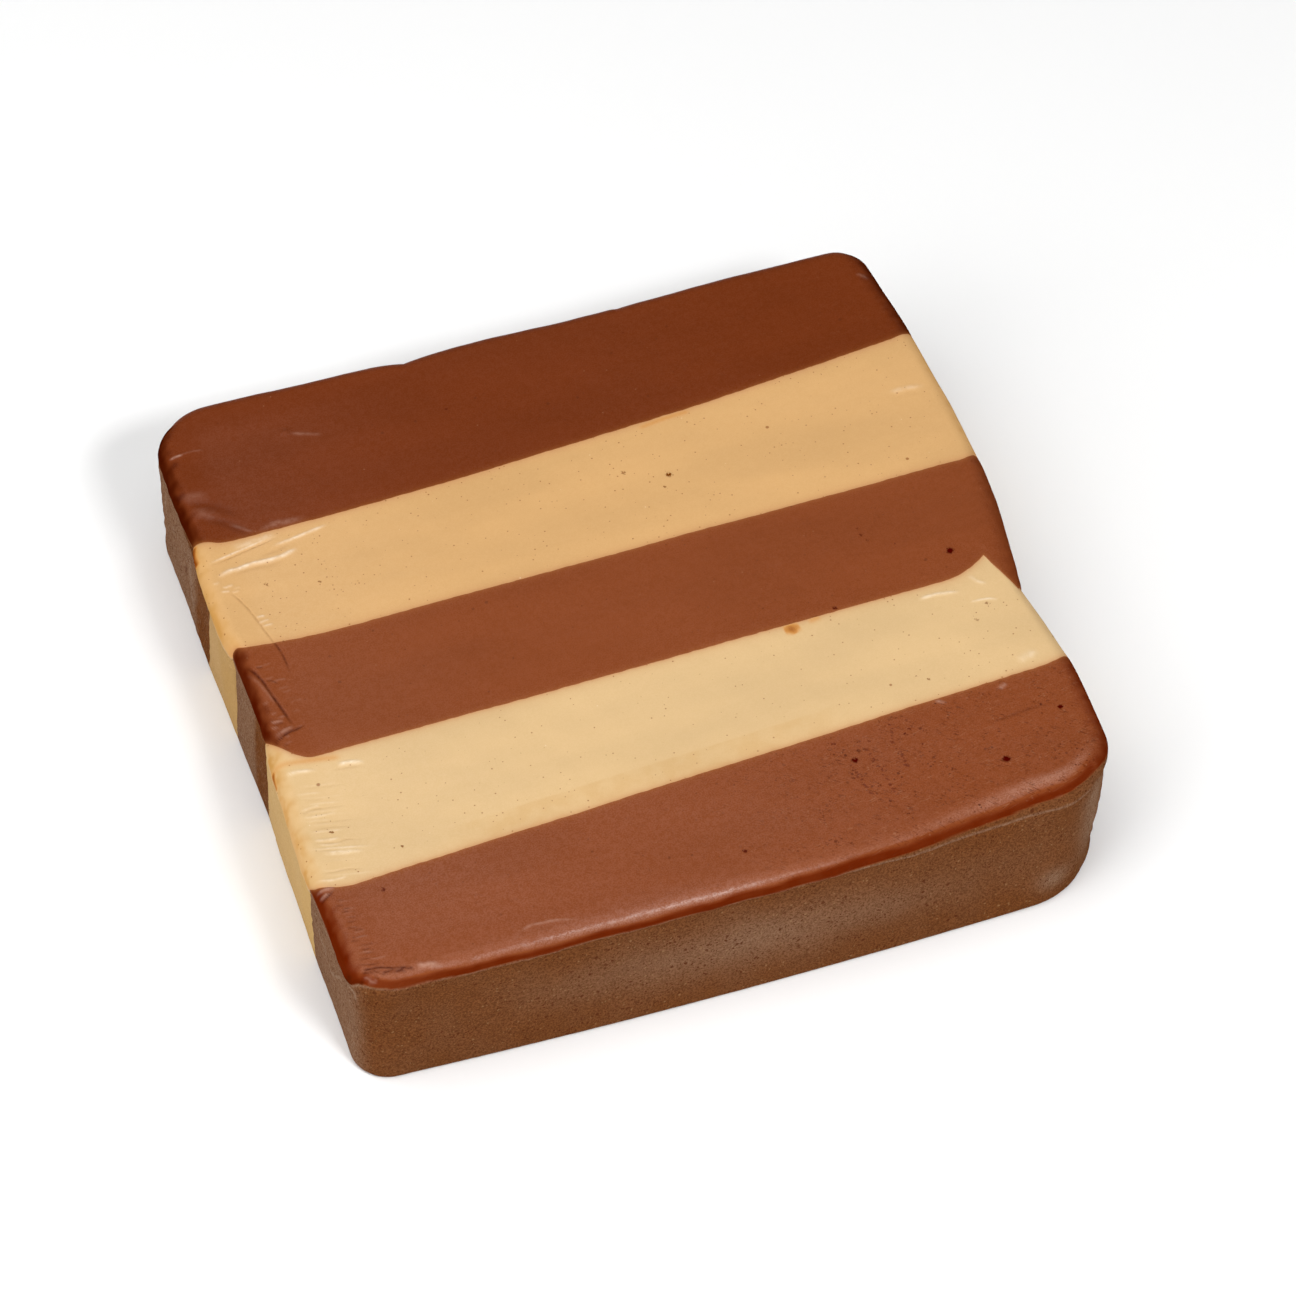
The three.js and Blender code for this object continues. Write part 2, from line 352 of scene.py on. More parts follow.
def pointsOf(number, along, across, level):  # points of one layer, with their distances from its edges
    inset = wallInset(level)
    zone = block["edgeZone"]
    first, last = number == 0, number == lastLayer
    backY = lineY(number, along, level)
    frontY = lineY(number + 1, along, level)
    between = lerp(backY - zone * first, frontY + zone * last, across["value"])
    onBack = backY - pressIn(across["value"], inset)
    onFront = frontY + pressIn(across["value"], inset)
    y = np.select([across["side"] < 0, across["side"] > 0], [onBack, onFront], between)
    wallY = backY if first else frontY
    toWall = np.abs(wallY - y) if first or last else np.full(y.shape, farAway)

    share = (backY - y) / (backY - frontY)
    leftReach = endReach("left", number, share, level)
    rightReach = endReach("right", number, share, level)
    x, toLeft, toRight = placeAlong(along, leftReach, rightReach, level)
    nearest = np.minimum(np.minimum(toLeft, toRight), toWall) - inset
    outward = np.clip(1 - nearest / block["shoulder"], 0, 1)
    z = level * (rim + block["shoulder"] * np.sqrt(1 - outward**2))
    facts = {
        "drop": profileRun(np.clip(nearest, 0, None), level),
        "inward": np.clip(nearest, 0, None),
        "toLeft": toLeft,
        "toRight": toRight,
        "toWall": toWall,
        "toBackSeam": np.full(y.shape, farAway) if first else backY - y,
        "toFrontSeam": np.full(y.shape, farAway) if last else y - frontY,
    }
    if first or last:
        onLeft = toLeft < toRight
        place = "back" if first else "front"
        leftRim, leftFoot = block["corners"][place + "Left"]
        rightRim, rightFoot = block["corners"][place + "Right"]
        radius = np.where(onLeft, lerp(leftFoot, leftRim, level), lerp(rightFoot, rightRim, level))
        endGap, wallGap = roundCorner(radius, np.where(onLeft, toLeft, toRight), toWall)
        x = np.where(onLeft, endGap - leftReach, rightReach - endGap)
        y = wallY - wallGap if first else wallY + wallGap
    return np.stack([x, y, z], -1), facts


# Lines of the fine skin, in millimetres or as shares between the edge zones

skin = {
    "shoulderSteps": 12,
    "leftStep": 0.14,  # finer at the left end, where the film left most of its folds
    "rightStep": 0.22,
    "lengthStep": 0.3,
    "acrossStep": 0.15,
    "footSteps": 5,
    "wallStep": 0.36,
    "frontWallStep": 0.26,
    "lipStep": 0.12,  # for the top 2 mm of the walls
    "lipBand": 2.0,
    "thinLevels": 7,  # on the seams inside the block
    "thinAcross": 6,  # on the foot
    "sharpAngle": 62,  # degrees, for the edges of the seams inside
}


def edgeLines(step):
    turns = np.linspace(0, math.pi / 2, skin["shoulderSteps"] + 1)
    shoulder = block["shoulder"] * (1 - np.cos(turns))
    count = round((block["edgeZone"] - block["shoulder"]) / step)
    zone = np.linspace(block["shoulder"], block["edgeZone"], count + 1)[1:]
    return np.concatenate([shoulder, zone])


def joinLines(low, between, high):  # side -1 and 1 hold distances from an edge, side 0 holds shares
    parts = [(-1, low), (0, between), (1, high[::-1])]
    side = np.concatenate([np.full(len(values), mark) for mark, values in parts])
    return {"side": side, "value": np.concatenate([values for _, values in parts])}


def evenShares(length, step):
    return np.linspace(0, 1, round(length / step) + 1)


def linesAlong():
    inner = evenShares(2 * (block["halfLength"] - block["edgeZone"]), skin["lengthStep"])[1:-1]
    return joinLines(edgeLines(skin["leftStep"]), inner, edgeLines(skin["rightStep"]))


def linesAcross(number):
    none = np.zeros(0)
    edge = edgeLines(skin["acrossStep"])
    width = lines[1]["middle"] - lines[2]["middle"]  # of an inner layer, and about that of the others
    if number == 0:
        width = block["backWall"]["rim"] - lines[1]["middle"] - block["edgeZone"]
        return joinLines(edge, evenShares(width, skin["acrossStep"])[1:], none)
    if number == lastLayer:
        width = lines[4]["middle"] + block["frontWall"]["rim"] - block["edgeZone"]
        return joinLines(none, evenShares(width, skin["acrossStep"])[:-1], edge)
    return joinLines(none, evenShares(width, skin["acrossStep"]), none)


def wallLevels(step):
    foot = np.linspace(0, block["footRound"], skin["footSteps"] + 1)
    lipFrom = rim - skin["lipBand"]
    wallCount = round((lipFrom - block["footRound"]) / step)
    wall = np.linspace(block["footRound"], lipFrom, wallCount + 1)[1:]
    lip = np.linspace(lipFrom, rim, round(skin["lipBand"] / skin["lipStep"]) + 1)[1:]
    return np.concatenate([foot, wall, lip]) / rim


# Relief: what film and mould left on the surface. A route is a row of places in X and Y on the top,
# X and Z on the front wall or Y and Z on the left end. Heights below 0 are grooves.

usualFade = 0.3  # a stroke dies out over this share of its route at both ends


def fold(width, height, *route, **paint):  # a sheen paints a highlight on the fold, a crease paints shade into it
    return {"width": width, "height": height, "route": route, **paint}


def smear(width, strength, *route):
    return {"width": width, "strength": strength, "route": route}


film = {
    "folds": [
        fold(0.13, 0.12, (-47.3, 39.1), (-46.3, 39.3), (-45.2, 39.5), sheen=1.0),
        fold(0.14, 0.08, (-46.0, 39.4), (-44.4, 39.6), (-42.5, 39.4), sheen=0.25),
        fold(0.9, 0.2, (-47.9, 31.9), (-46.7, 32.1), (-45.0, 31.6), (-43.9, 30.9), sheen=0.2,
             fade=0.5),
        fold(0.7, -0.2, (-47.6, 31.2), (-45.4, 30.7), (-42.9, 28.9), (-41.0, 27.0), crease=0.3),
        fold(0.8, 0.24, (-47.4, 29.5), (-46.0, 29.3), (-44.8, 28.4), (-43.1, 26.5), sheen=0.2,
             fade=0.5),
        fold(0.22, 0.14, (-43.4, 26.8), (-41.5, 25.0), (-40.4, 24.0), sheen=0.3),
        fold(0.55, -0.2, (-46.6, 28.5), (-43.9, 27.1), (-42.2, 25.4), (-40.6, 23.7), crease=0.4),
        fold(0.42, 0.12, (-40.2, 24.1), (-37.6, 24.6), (-36.2, 24.5), (-33.6, 24.3), sheen=0.34),
        fold(0.13, 0.12, (-47.6, 20.6), (-45.4, 21.1), (-42.7, 21.7), (-40.4, 22.2), (-38.2, 22.8),
             sheen=0.85),
        fold(0.5, 0.1, (-44.3, 22.3), (-41.8, 22.4), (-39.6, 22.6), (-37.6, 23.1), sheen=0.4),
        fold(0.1, -0.2, (-47.3, 20.3), (-44.7, 20.8), (-42.1, 21.4), (-39.7, 21.9), (-37.4, 22.6),
             crease=0.95),
        fold(0.27, 0.3, (-46.7, 18.1), (-45.4, 18.7), (-43.9, 18.8), (-42.5, 19.0), (-40.8, 19.0),
             (-39.2, 19.0), (-37.6, 19.3), (-36.0, 20.0), sheen=1.0, fade=0.14),
        fold(0.34, -0.12, (-45.2, 18.0), (-42.6, 18.4), (-40.0, 18.2), (-37.4, 18.6), crease=0.25),
        fold(0.2, 0.2, (-39.6, 20.9), (-37.0, 21.4), (-34.8, 21.8), (-32.9, 22.2), (-31.4, 22.6),
             sheen=0.8),
        fold(0.28, -0.12, (-41.0, 19.9), (-38.6, 20.3), (-36.4, 20.9), crease=0.35),
        fold(0.12, -0.14, (-46.0, 15.8), (-44.6, 12.5), (-43.5, 8.1), (-42.6, 4.3), (-42.4, 0.4),
             crease=0.8, fade=0.16),
        fold(0.14, 0.1, (-44.0, 10.6), (-42.8, 10.5), sheen=0.7),
        fold(0.14, 0.1, (-44.0, 9.6), (-42.4, 9.8), sheen=0.7),
        fold(0.13, 0.1, (-43.7, 8.9), (-42.2, 9.0), sheen=0.55),
        fold(0.14, 0.1, (-46.9, 15.8), (-45.8, 15.6), sheen=0.7),
        fold(0.13, 0.08, (-46.6, 16.4), (-45.8, 16.3), sheen=0.5),
        fold(0.17, -0.25, (-47.2, 3.7), (-46.4, 1.9), (-45.8, 0.0), (-45.4, -2.1), (-45.0, -4.0),
             (-44.3, -7.4), crease=1.0, fade=0.12),
        fold(0.18, 0.12, (-47.4, 2.6), (-46.7, 1.1), (-46.1, -0.8), (-45.7, -2.2), (-45.3, -4.4),
             sheen=0.25),
        fold(0.18, -0.3, (-47.5, -9.2), (-46.2, -8.5), (-45.1, -8.0), (-44.2, -7.8), (-42.7, -7.5),
             crease=1.0, fade=0.2),
        fold(0.24, 0.2, (-46.9, -8.3), (-45.4, -7.6), (-44.2, -7.4), sheen=0.5),
        fold(0.15, 0.15, (-46.8, -6.0), (-45.5, -6.0), sheen=0.55),
        fold(0.15, 0.15, (-47.0, -6.8), (-45.9, -6.9), sheen=0.55),
        fold(0.13, -0.12, (-46.7, -6.4), (-45.1, -6.4), crease=0.7),
        fold(0.12, -0.1, (-46.6, -10.5), (-45.7, -10.5), crease=0.8),
        fold(0.12, -0.1, (-46.4, -10.0), (-45.6, -9.7), crease=0.8),
        fold(0.12, -0.08, (-46.2, 2.8), (-45.2, 2.7), crease=0.7),
        fold(0.12, -0.08, (-45.7, 0.4), (-44.9, 0.3), (-44.1, -0.6), crease=0.6),
        fold(0.22, 0.15, (-47.3, -14.3), (-45.8, -14.2), (-43.2, -14.8), sheen=0.65),
        fold(0.26, 0.25, (-41.2, -14.8), (-39.7, -14.8), (-37.8, -15.4), sheen=1.0),
        fold(0.2, -0.1, (-42.0, -15.2), (-40.1, -15.4), (-38.0, -15.8), crease=0.3),
        fold(0.12, -0.1, (-47.7, -20.7), (-45.7, -20.2), (-43.7, -20.5), crease=0.55),
        fold(0.15, 0.08, (-47.4, -20.2), (-45.6, -19.8), (-44.6, -19.9), sheen=0.4),
        fold(0.14, 0.08, (-47.3, -21.1), (-45.1, -21.4), (-42.8, -21.4), sheen=0.45),
        fold(0.12, -0.1, (-47.7, -24.9), (-44.4, -25.8), (-43.3, -25.7), (-40.7, -26.5),
             crease=0.5),
        fold(0.15, 0.08, (-46.3, -24.9), (-44.9, -25.2), (-43.6, -25.3), sheen=0.5),
        fold(0.13, 0.08, (-48.1, -25.9), (-45.1, -26.5), (-43.5, -26.9), (-39.4, -27.9),
             sheen=0.55),
        fold(0.24, 0.1, (-46.5, -26.8), (-44.1, -27.4), (-41.5, -28.0), sheen=0.5),
        fold(0.12, -0.1, (-47.8, -29.8), (-45.6, -29.9), (-44.3, -30.0), (-41.9, -30.7),
             crease=0.5),
        fold(0.14, 0.08, (-48.6, -30.4), (-46.4, -31.0), (-44.3, -31.0), sheen=0.55),
        fold(0.2, 0.2, (-48.8, -31.8), (-47.5, -32.0), (-46.3, -32.2), sheen=0.7),
        fold(0.24, 0.2, (-48.6, -33.0), (-47.2, -32.6), sheen=0.6),
        fold(0.14, -0.2, (-48.8, -33.3), (-47.8, -33.1), (-46.5, -32.4), crease=0.9),
        fold(0.18, -0.16, (-46.9, -44.5), (-46.0, -44.7), (-45.0, -44.8), (-43.9, -45.2),
             (-42.7, -45.6), (-41.7, -45.9), (-41.0, -46.3), crease=1.0, fade=0.12),
        fold(0.16, -0.12, (-47.1, -44.8), (-46.2, -45.1), (-45.3, -45.3), (-44.8, -45.4),
             crease=0.95, fade=0.2),
        fold(0.17, -0.14, (-45.1, -45.9), (-44.3, -45.7), (-43.6, -45.8), (-42.6, -46.0),
             (-41.9, -46.3), crease=0.95, fade=0.2),
        fold(0.12, -0.08, (-47.0, -43.7), (-46.4, -43.9), (-45.8, -44.1), crease=0.45),
        # a painted shadow under the film's overhanging edge at the front-left corner
        fold(0.2, -0.14, (-48.5, -43.2), (-48.3, -44.3), (-48.1, -44.8), (-47.5, -45.4),
             (-46.9, -45.9), crease=1.0, fade=0.15),
        fold(0.15, 0.16, (-46.9, -45.3), (-46.4, -45.6), (-45.9, -45.9), sheen=0.35),
        fold(0.14, 0.16, (-46.6, -45.8), (-46.0, -46.2), (-45.4, -46.3), sheen=0.35),
        fold(0.12, -0.12, (-45.8, -45.6), (-45.4, -46.0), (-45.3, -46.3), crease=0.6),
        fold(0.12, 0.1, (-46.2, -45.0), (-44.6, -45.1), (-43.2, -45.6), (-42.0, -46.0), sheen=0.25),
        fold(0.3, 0.14, (-40.9, -45.8), (-39.4, -46.2), (-37.9, -46.4), sheen=0.75),
        fold(0.16, 0.06, (-29.2, -45.6), (-26.9, -44.7), (-25.2, -44.7), (-23.2, -44.9),
             (-20.6, -45.8), sheen=0.45),
        fold(0.24, 0.2, (33.0, -12.3), (35.3, -12.2), (38.8, -12.7), sheen=0.7),
        fold(0.2, 0.12, (40.2, -10.3), (41.0, -11.7), (42.1, -12.7), sheen=0.45),
        fold(0.16, 0.12, (38.8, -14.7), (40.9, -14.8), (42.5, -15.3), sheen=0.75),
        fold(0.5, 0.12, (40.8, -25.2), (42.4, -24.9), (44.1, -24.3), sheen=0.4),
        fold(0.35, 0.11, (41.6, 21.3), (44.0, 21.3), (46.8, 21.0), sheen=0.3),
        fold(0.45, -0.09, (41.4, 20.1), (43.6, 20.5), (46.0, 20.2)),
        fold(0.22, 0.14, (45.0, 42.4), (45.7, 41.9), (46.2, 40.8), sheen=0.3),
        fold(0.24, 0.08, (-32.0, 38.9), (-30.0, 38.0), (-27.8, 37.2), sheen=0.3),
        fold(0.2, 0.1, (29.3, -27.9), (30.6, -28.7), sheen=0.7),
        fold(0.22, 0.12, (37.3, -28.8), (38.5, -28.0), sheen=0.8),
        fold(0.22, -0.08, (33.6, -33.2), (37.0, -33.0), (39.7, -32.7), (42.8, -32.8), crease=0.4),
    ],
    "combs": [  # rows of short wrinkles that run in from the left edge
        {"from": (-46.8, -16.4), "to": (-47.2, -30.0), "count": 16, "run": (6.0, -1.2),
         "width": 0.12, "height": 0.03, "sheen": 0.3},
        {"from": (-46.8, -17.0), "to": (-47.2, -30.0), "count": 9, "run": (5.4, -1.0),
         "width": 0.11, "height": -0.03, "crease": 0.3},
        {"from": (-46.9, -33.9), "to": (-46.5, -43.8), "count": 15, "run": (1.9, -0.2),
         "width": 0.12, "height": -0.04, "crease": 0.45},
        {"from": (-46.6, -34.3), "to": (-46.3, -43.4), "count": 11, "run": (2.4, -0.2),
         "width": 0.12, "height": 0.04, "sheen": 0.2},
        {"from": (-47.3, 17.4), "to": (-45.5, 15.2), "count": 4, "run": (1.2, 0.1),
         "width": 0.16, "height": 0.08, "sheen": 0.3},
        {"from": (-46.4, 3.0), "to": (-43.6, -5.0), "count": 9, "run": (2.2, 0.1),
         "width": 0.14, "height": 0.04, "sheen": 0.2},
        {"from": (-46.6, -3.0), "to": (-46.0, -9.6), "count": 9, "run": (1.3, 0.2),
         "width": 0.14, "height": 0.07, "sheen": 0.3},
    ],
    "combStray": 0.3,  # a wrinkle's place in its row, as a share of the gap
    "combStart": (-0.4, 0.6),
    "combReach": (0.5, 1.1),
    "combBend": 0.2,
    "combSize": (0.3, 1.5),
    "foldHeight": 0.5,  # all folds are this much flatter than drawn
    "undulation": 0.05,  # slow waves all over the top
    "undulationLength": 16,
    "rippleHeight": 0.012,  # faster ones that break up the sheen
    "rippleLength": 3.2,
    "rippleWaves": 16,
    "seed": 11,
}

holes = {  # X, Y, radius and darkness of the air holes and coarse grains in the top of a layer; a hole's darkness is painted shade, a grain's is its own colour
    "dark_back": [(-12.0, 36.4, 0.18, 0.6), (13.3, 42.0, 0.14, 0.4)],
    "light_back": [
        (-41.3, 15.2, 0.22, 0.8), (11.0, 16.8, 0.36, 1.0), (5.8, 18.9, 0.27, 0.6),
        (9.9, 15.0, 0.16, 0.7), (-35.0, 13.6, 0.15, 0.6),
    ],
    "dark_middle": [
        (39.6, -6.1, 0.46, 1.0), (23.0, -10.3, 0.24, 0.8), (30.2, 1.0, 0.16, 0.5),
        (30.2, -0.2, 0.2, 0.6), (30.6, -1.2, 0.14, 0.5), (33.6, -2.7, 0.12, 0.5),
    ],
    "light_front": [
        (-44.5, -24.2, 0.18, 0.8), (-37.2, -28.9, 0.18, 0.8), (-36.9, -21.6, 0.13, 0.3),
        (40.9, -15.5, 0.2, 0.6), (38.7, -17.6, 0.2, 0.5), (29.9, -24.5, 0.16, 0.6),
        (28.6, -23.6, 0.15, 0.5),
    ],
    "dark_front": [
        (34.3, -39.0, 0.42, 1.0), (43.3, -33.6, 0.32, 1.0), (17.3, -33.5, 0.38, 1.0),
        (0.4, -42.3, 0.22, 0.8), (15.7, -30.4, 0.2, 0.6), (-41.2, -34.2, 0.26, 0.7),
        (24.2, -31.6, 0.2, 0.7), (25.0, -31.1, 0.16, 0.6), (25.6, -33.7, 0.18, 0.6),
        (27.6, -38.4, 0.16, 0.5), (19.8, -31.3, 0.12, 0.5),
    ],
}

pitRows = {  # dotted lines of small pits on the front layer's top, painted dark as painted shade
    "ends": [
        ((23.2, -29.5), (22.2, -32.4)),
        ((22.7, -33.5), (22.9, -36.4)),
        ((19.0, -32.4), (19.7, -35.4)),
        ((19.7, -35.4), (20.0, -39.5)),
        ((16.5, -33.8), (17.2, -39.0)),
    ],
    "gap": 0.42,
    "shift": 0.8,  # of a pit in its row, as a share of the gap
    "radius": 0.21,
    "stray": 0.07,
    "sizes": (0.5, 1.3),
    "darkness": 0.52,
    "seed": 5,
}

bumps = [  # X, Y, radius and height
    (-32.3, 39.0, 0.5, 0.2),
    (35.3, -9.0, 0.3, 0.1),
    (43.9, -6.5, 0.25, 0.1),
    (37.9, -28.0, 0.35, 0.12),
    (-39.1, -46.4, 0.6, 0.16),
    (-34.6, -47.3, 0.7, 0.14),
]

frontEdge = {  # the moulded lip where the shoulder meets the front wall
    "ridge": 0.1,
    "ridgeWidth": 0.16,
    "ridgeFrom": (-22, 4),  # it grows between these X
    "ridgeLeast": 0.15,
    "ridgeUneven": 0.3,
    "ridgeUnevenLength": 11,
    "over": (38, 44),  # the front begins this far from the middle
    "leftRise": [  # X, and how much higher the wall reaches there
        (-48.1, 0), (-47.6, 0.6), (-46.5, 0.95), (-44.6, 0.8), (-43.3, 0.56), (-39.9, 0.45), (-33, 0),
    ],
    "leftDip": 0.5,  # and the film reaches this much lower on the left end, just behind the corner
    "leftDipFrom": (36, 42),
    "leftDipTo": (43.4, 45.2),
    "rightDrop": 0.65,  # and this much lower at the right corner
    "rightDropOver": (5, 32),
    "stripFrom": (6, 27),  # a bare strip opens over the lip between these X
    "stripHeight": 0.75,
    "cornerFrom": (29, 46),
    "cornerStrip": 1.2,
    "wave": 0.06,
    "waveLength": 9.0,
    "waveDrift": (1.3, 7.0),  # its length changes by this much, over this length
    "band": [  # X and the deep band's height
        (-49, 1.3), (-19, 1.2), (0, 1.4), (6, 1.55), (17, 2.1), (30, 2.25), (46, 2.4),
    ],
    "bandOver": (4, 30),
    "round": 1.8,  # the shoulder's radius grows by this much at the right corner
    "roundOver": (5, 32),
    "roundFacing": (-3, 6),  # and less where the right end is nearer than the front
    "roundFront": (26, 40),
    "seed": 3,
}

walls = {
    "waves": 0.1,
    "waveLength": 14,
    "roughness": 0.03,
    "roughLength": 1.6,
    "roughWaves": 20,
    "scratches": [  # X and Z on the front wall
        fold(0.2, 0.12, (-16.6, 8.2), (-14.9, 10.2), (-13.0, 12.7)),
        fold(0.2, -0.1, (-16.3, 8.0), (-14.6, 10.0), (-12.7, 12.5)),
        fold(0.18, 0.07, (25.6, 12.8), (27.4, 13.2), (29.2, 13.7)),
        fold(0.3, -0.08, (2.6, 5.0), (4.2, 5.6), (5.6, 7.2)),
    ],
    "frontOver": (40, 46),
    "cornerLines": {
        "count": 4, "from": 1.1, "gap": 0.75, "width": 0.16, "height": -0.07, "run": (-52, -40),
    },
    "endBumps": 0.05,  # on the crumbly left end of the back layer
    "endBumpLength": 1.7,
    "endBumpWaves": 16,
    "crumblyFrom": (18, 26),
    "crumblyDepth": (1, 5),
    "meetsTop": (-0.6, 0.4),  # around the rim
    "footFade": (0, 1.5),
    "seed": 21,
}


def curveThrough(route, steps=6):  # a smooth path through the places of a route
    places = np.array(route, float)
    padded = np.vstack([2 * places[0] - places[1], places, 2 * places[-1] - places[-2]])
    path = [places[0]]
    for n in range(len(places) - 1):
        a, b, c, d = padded[n : n + 4]
        for t in np.linspace(0, 1, steps + 1)[1:]:
            curve = 2 * b + (c - a) * t + (2 * a - 5 * b + 4 * c - d) * t**2
            path.append((curve + (3 * b - a - 3 * c + d) * t**3) / 2)
    return np.array(path)


def strokeMask(u, v, route, width, fade=usualFade):  # 1 on the route, dying out beside it and at its ends
    path = curveThrough(route)
    mask = np.zeros(u.shape)
    reach = 3 * width
    low, high = path.min(0) - reach, path.max(0) + reach
    close = (u > low[0]) & (u < high[0]) & (v > low[1]) & (v < high[1])
    place = np.stack([u[close], v[close]], -1)
    best = np.full(len(place), np.inf)
    run = np.zeros(len(place))
    count = len(path) - 1
    for n in range(count):
        step = path[n + 1] - path[n]
        t = np.clip(((place - path[n]) @ step) / (step @ step), 0, 1)
        gap = np.hypot(*(place - path[n] - t[:, None] * step).T)
        run = np.where(gap < best, (n + t) / count, run)
        best = np.minimum(gap, best)
    ends = smooth(run, 0, fade) * (1 - smooth(run, 1 - fade, 1))
    mask[close] = np.exp(-((best / width) ** 2)) * ends
    return mask


def strokeSum(u, v, strokes, fade=usualFade):
    total = np.zeros(len(u))
    for stroke in strokes:
        total += stroke["strength"] * strokeMask(u, v, stroke["route"], stroke["width"], fade)
    return total


def tableAt(table, x):
    return np.interp(x, *zip(*table))


def spotMask(u, v, place, radius, long=1.0):
    return np.exp(-(((u - place[0]) / (radius * long)) ** 2) - ((v - place[1]) / radius) ** 2)


rippleLengths = (0.7, 1.5)  # least and most, as shares of the length asked for


def ripple(place, length, seed, waves=10):  # soft waves in all directions, about 1 high
    draw = np.random.default_rng(seed)
    total = np.zeros(len(place))
    for _ in range(waves):
        way = draw.normal(size=3)
        way *= 2 * math.pi / (length * draw.uniform(*rippleLengths)) / np.linalg.norm(way)
        total += np.sin(place @ way + draw.uniform(0, 2 * math.pi))
    return total / math.sqrt(waves / 2)


def combStrokes():
    draw = np.random.default_rng(film["seed"])
    strokes = []
    for comb in film["combs"]:
        start, end, run = (np.array(comb[key], float) for key in ("from", "to", "run"))
        for n in range(comb["count"]):
            stray, bow = film["combStray"], film["combBend"]
            foot = lerp(start, end, (n + draw.uniform(-stray, stray)) / (comb["count"] - 1))
            foot = foot + [draw.uniform(*film["combStart"]), 0]
            reach = run * draw.uniform(*film["combReach"])
            bend = [0, draw.uniform(-bow, bow)]
            route = [foot, foot + reach / 2 + bend, foot + reach]
            size = draw.uniform(*film["combSize"])
            paint = {key: comb[key] * size for key in ("height", "sheen", "crease") if key in comb}
            strokes.append({"route": route, "width": comb["width"], **paint})
    return strokes


def pitPlaces():
    draw = np.random.default_rng(pitRows["seed"])
    places = []
    for start, end in pitRows["ends"]:
        start, end = np.array(start), np.array(end)
        count = round(np.hypot(*(end - start)) / pitRows["gap"])
        for n in range(count):
            place = lerp(start, end, (n + draw.uniform(0, pitRows["shift"])) / count)
            place = place + draw.normal(0, pitRows["stray"], 2)
            places.append((*place, pitRows["radius"] * draw.uniform(*pitRows["sizes"])))
    return places


topStrokes = film["folds"] + combStrokes()
pits = {"dark_front": pitPlaces()}


def lipAt(x):  # how far along the profile the front wall's lip runs
    most, length = frontEdge["waveDrift"]
    turn = x * 2 * math.pi / frontEdge["waveLength"] + most * np.sin(x / length)
    left = tableAt(frontEdge["leftRise"], x)
    right = frontEdge["rightDrop"] * smooth(x, *frontEdge["rightDropOver"])
    return shoulderArc + frontEdge["wave"] * np.sin(turn) - left + right


def frontBorder(x):  # where the smooth shoulder ends and the bare wall begins
    strip = frontEdge["stripHeight"] * smooth(x, *frontEdge["stripFrom"])
    return lipAt(x) - strip - frontEdge["cornerStrip"] * smooth(x, *frontEdge["cornerFrom"])


def paintedShare(x, y, paint):
    share = np.zeros(len(x))
    for stroke in topStrokes:
        if paint in stroke:
            mask = strokeMask(x, y, stroke["route"], stroke["width"], stroke.get("fade", usualFade))
            share = np.maximum(share, stroke[paint] * mask)
    return share


def topRelief(place):
    x, y = place[:, 0], place[:, 1]
    height = film["undulation"] * ripple(place, film["undulationLength"], film["seed"])
    waves = ripple(place, film["rippleLength"], film["seed"] + 1, film["rippleWaves"])
    height += film["rippleHeight"] * waves
    for stroke in topStrokes:
        mask = strokeMask(x, y, stroke["route"], stroke["width"], stroke.get("fade", usualFade))
        height += film["foldHeight"] * stroke["height"] * mask
    for bumpX, bumpY, radius, rise in bumps:
        height += rise * spotMask(x, y, (bumpX, bumpY), radius)
    return height


def rounder(place, facts):  # how far the surface falls back where the shoulder's radius is larger
    radius = block["shoulder"]
    facing = smooth(facts["toRight"] - facts["toWall"], *frontEdge["roundFacing"])
    facing = facing * smooth(-place[:, 1], *frontEdge["roundFront"])
    extra = frontEdge["round"] * smooth(place[:, 0], *frontEdge["roundOver"]) * facing
    larger = radius + extra
    inward = facts["inward"]
    flat = larger - np.sqrt(larger**2 - np.clip(larger - inward, 0, extra) ** 2)
    out = np.clip(1 - inward / radius, 0, 1)
    both = out + np.sqrt(1 - out**2)
    turned = larger - np.sqrt(extra**2 * (both**2 - 2) + larger**2) + extra * (both - 1)
    rise = np.clip(place[:, 2] - block["height"] + larger, 0, extra)
    wall = larger - np.sqrt(larger**2 - rise**2)
    return np.select([inward >= radius, facts["drop"] <= shoulderArc + 1e-6], [flat, turned], wall)


def frontRelief(place, facts):  # the lip, on the shoulder and the wall
    x = place[:, 0]
    atFront = smooth(-place[:, 1], *frontEdge["over"])
    grow = lerp(frontEdge["ridgeLeast"], 1, smooth(x, *frontEdge["ridgeFrom"]))
    waves = ripple(place * [1, 0, 0], frontEdge["ridgeUnevenLength"], frontEdge["seed"])
    uneven = 1 + frontEdge["ridgeUneven"] * waves
    ridge = np.exp(-(((facts["drop"] - lipAt(x)) / frontEdge["ridgeWidth"]) ** 2))
    return atFront * frontEdge["ridge"] * grow * uneven * ridge - rounder(place, facts)


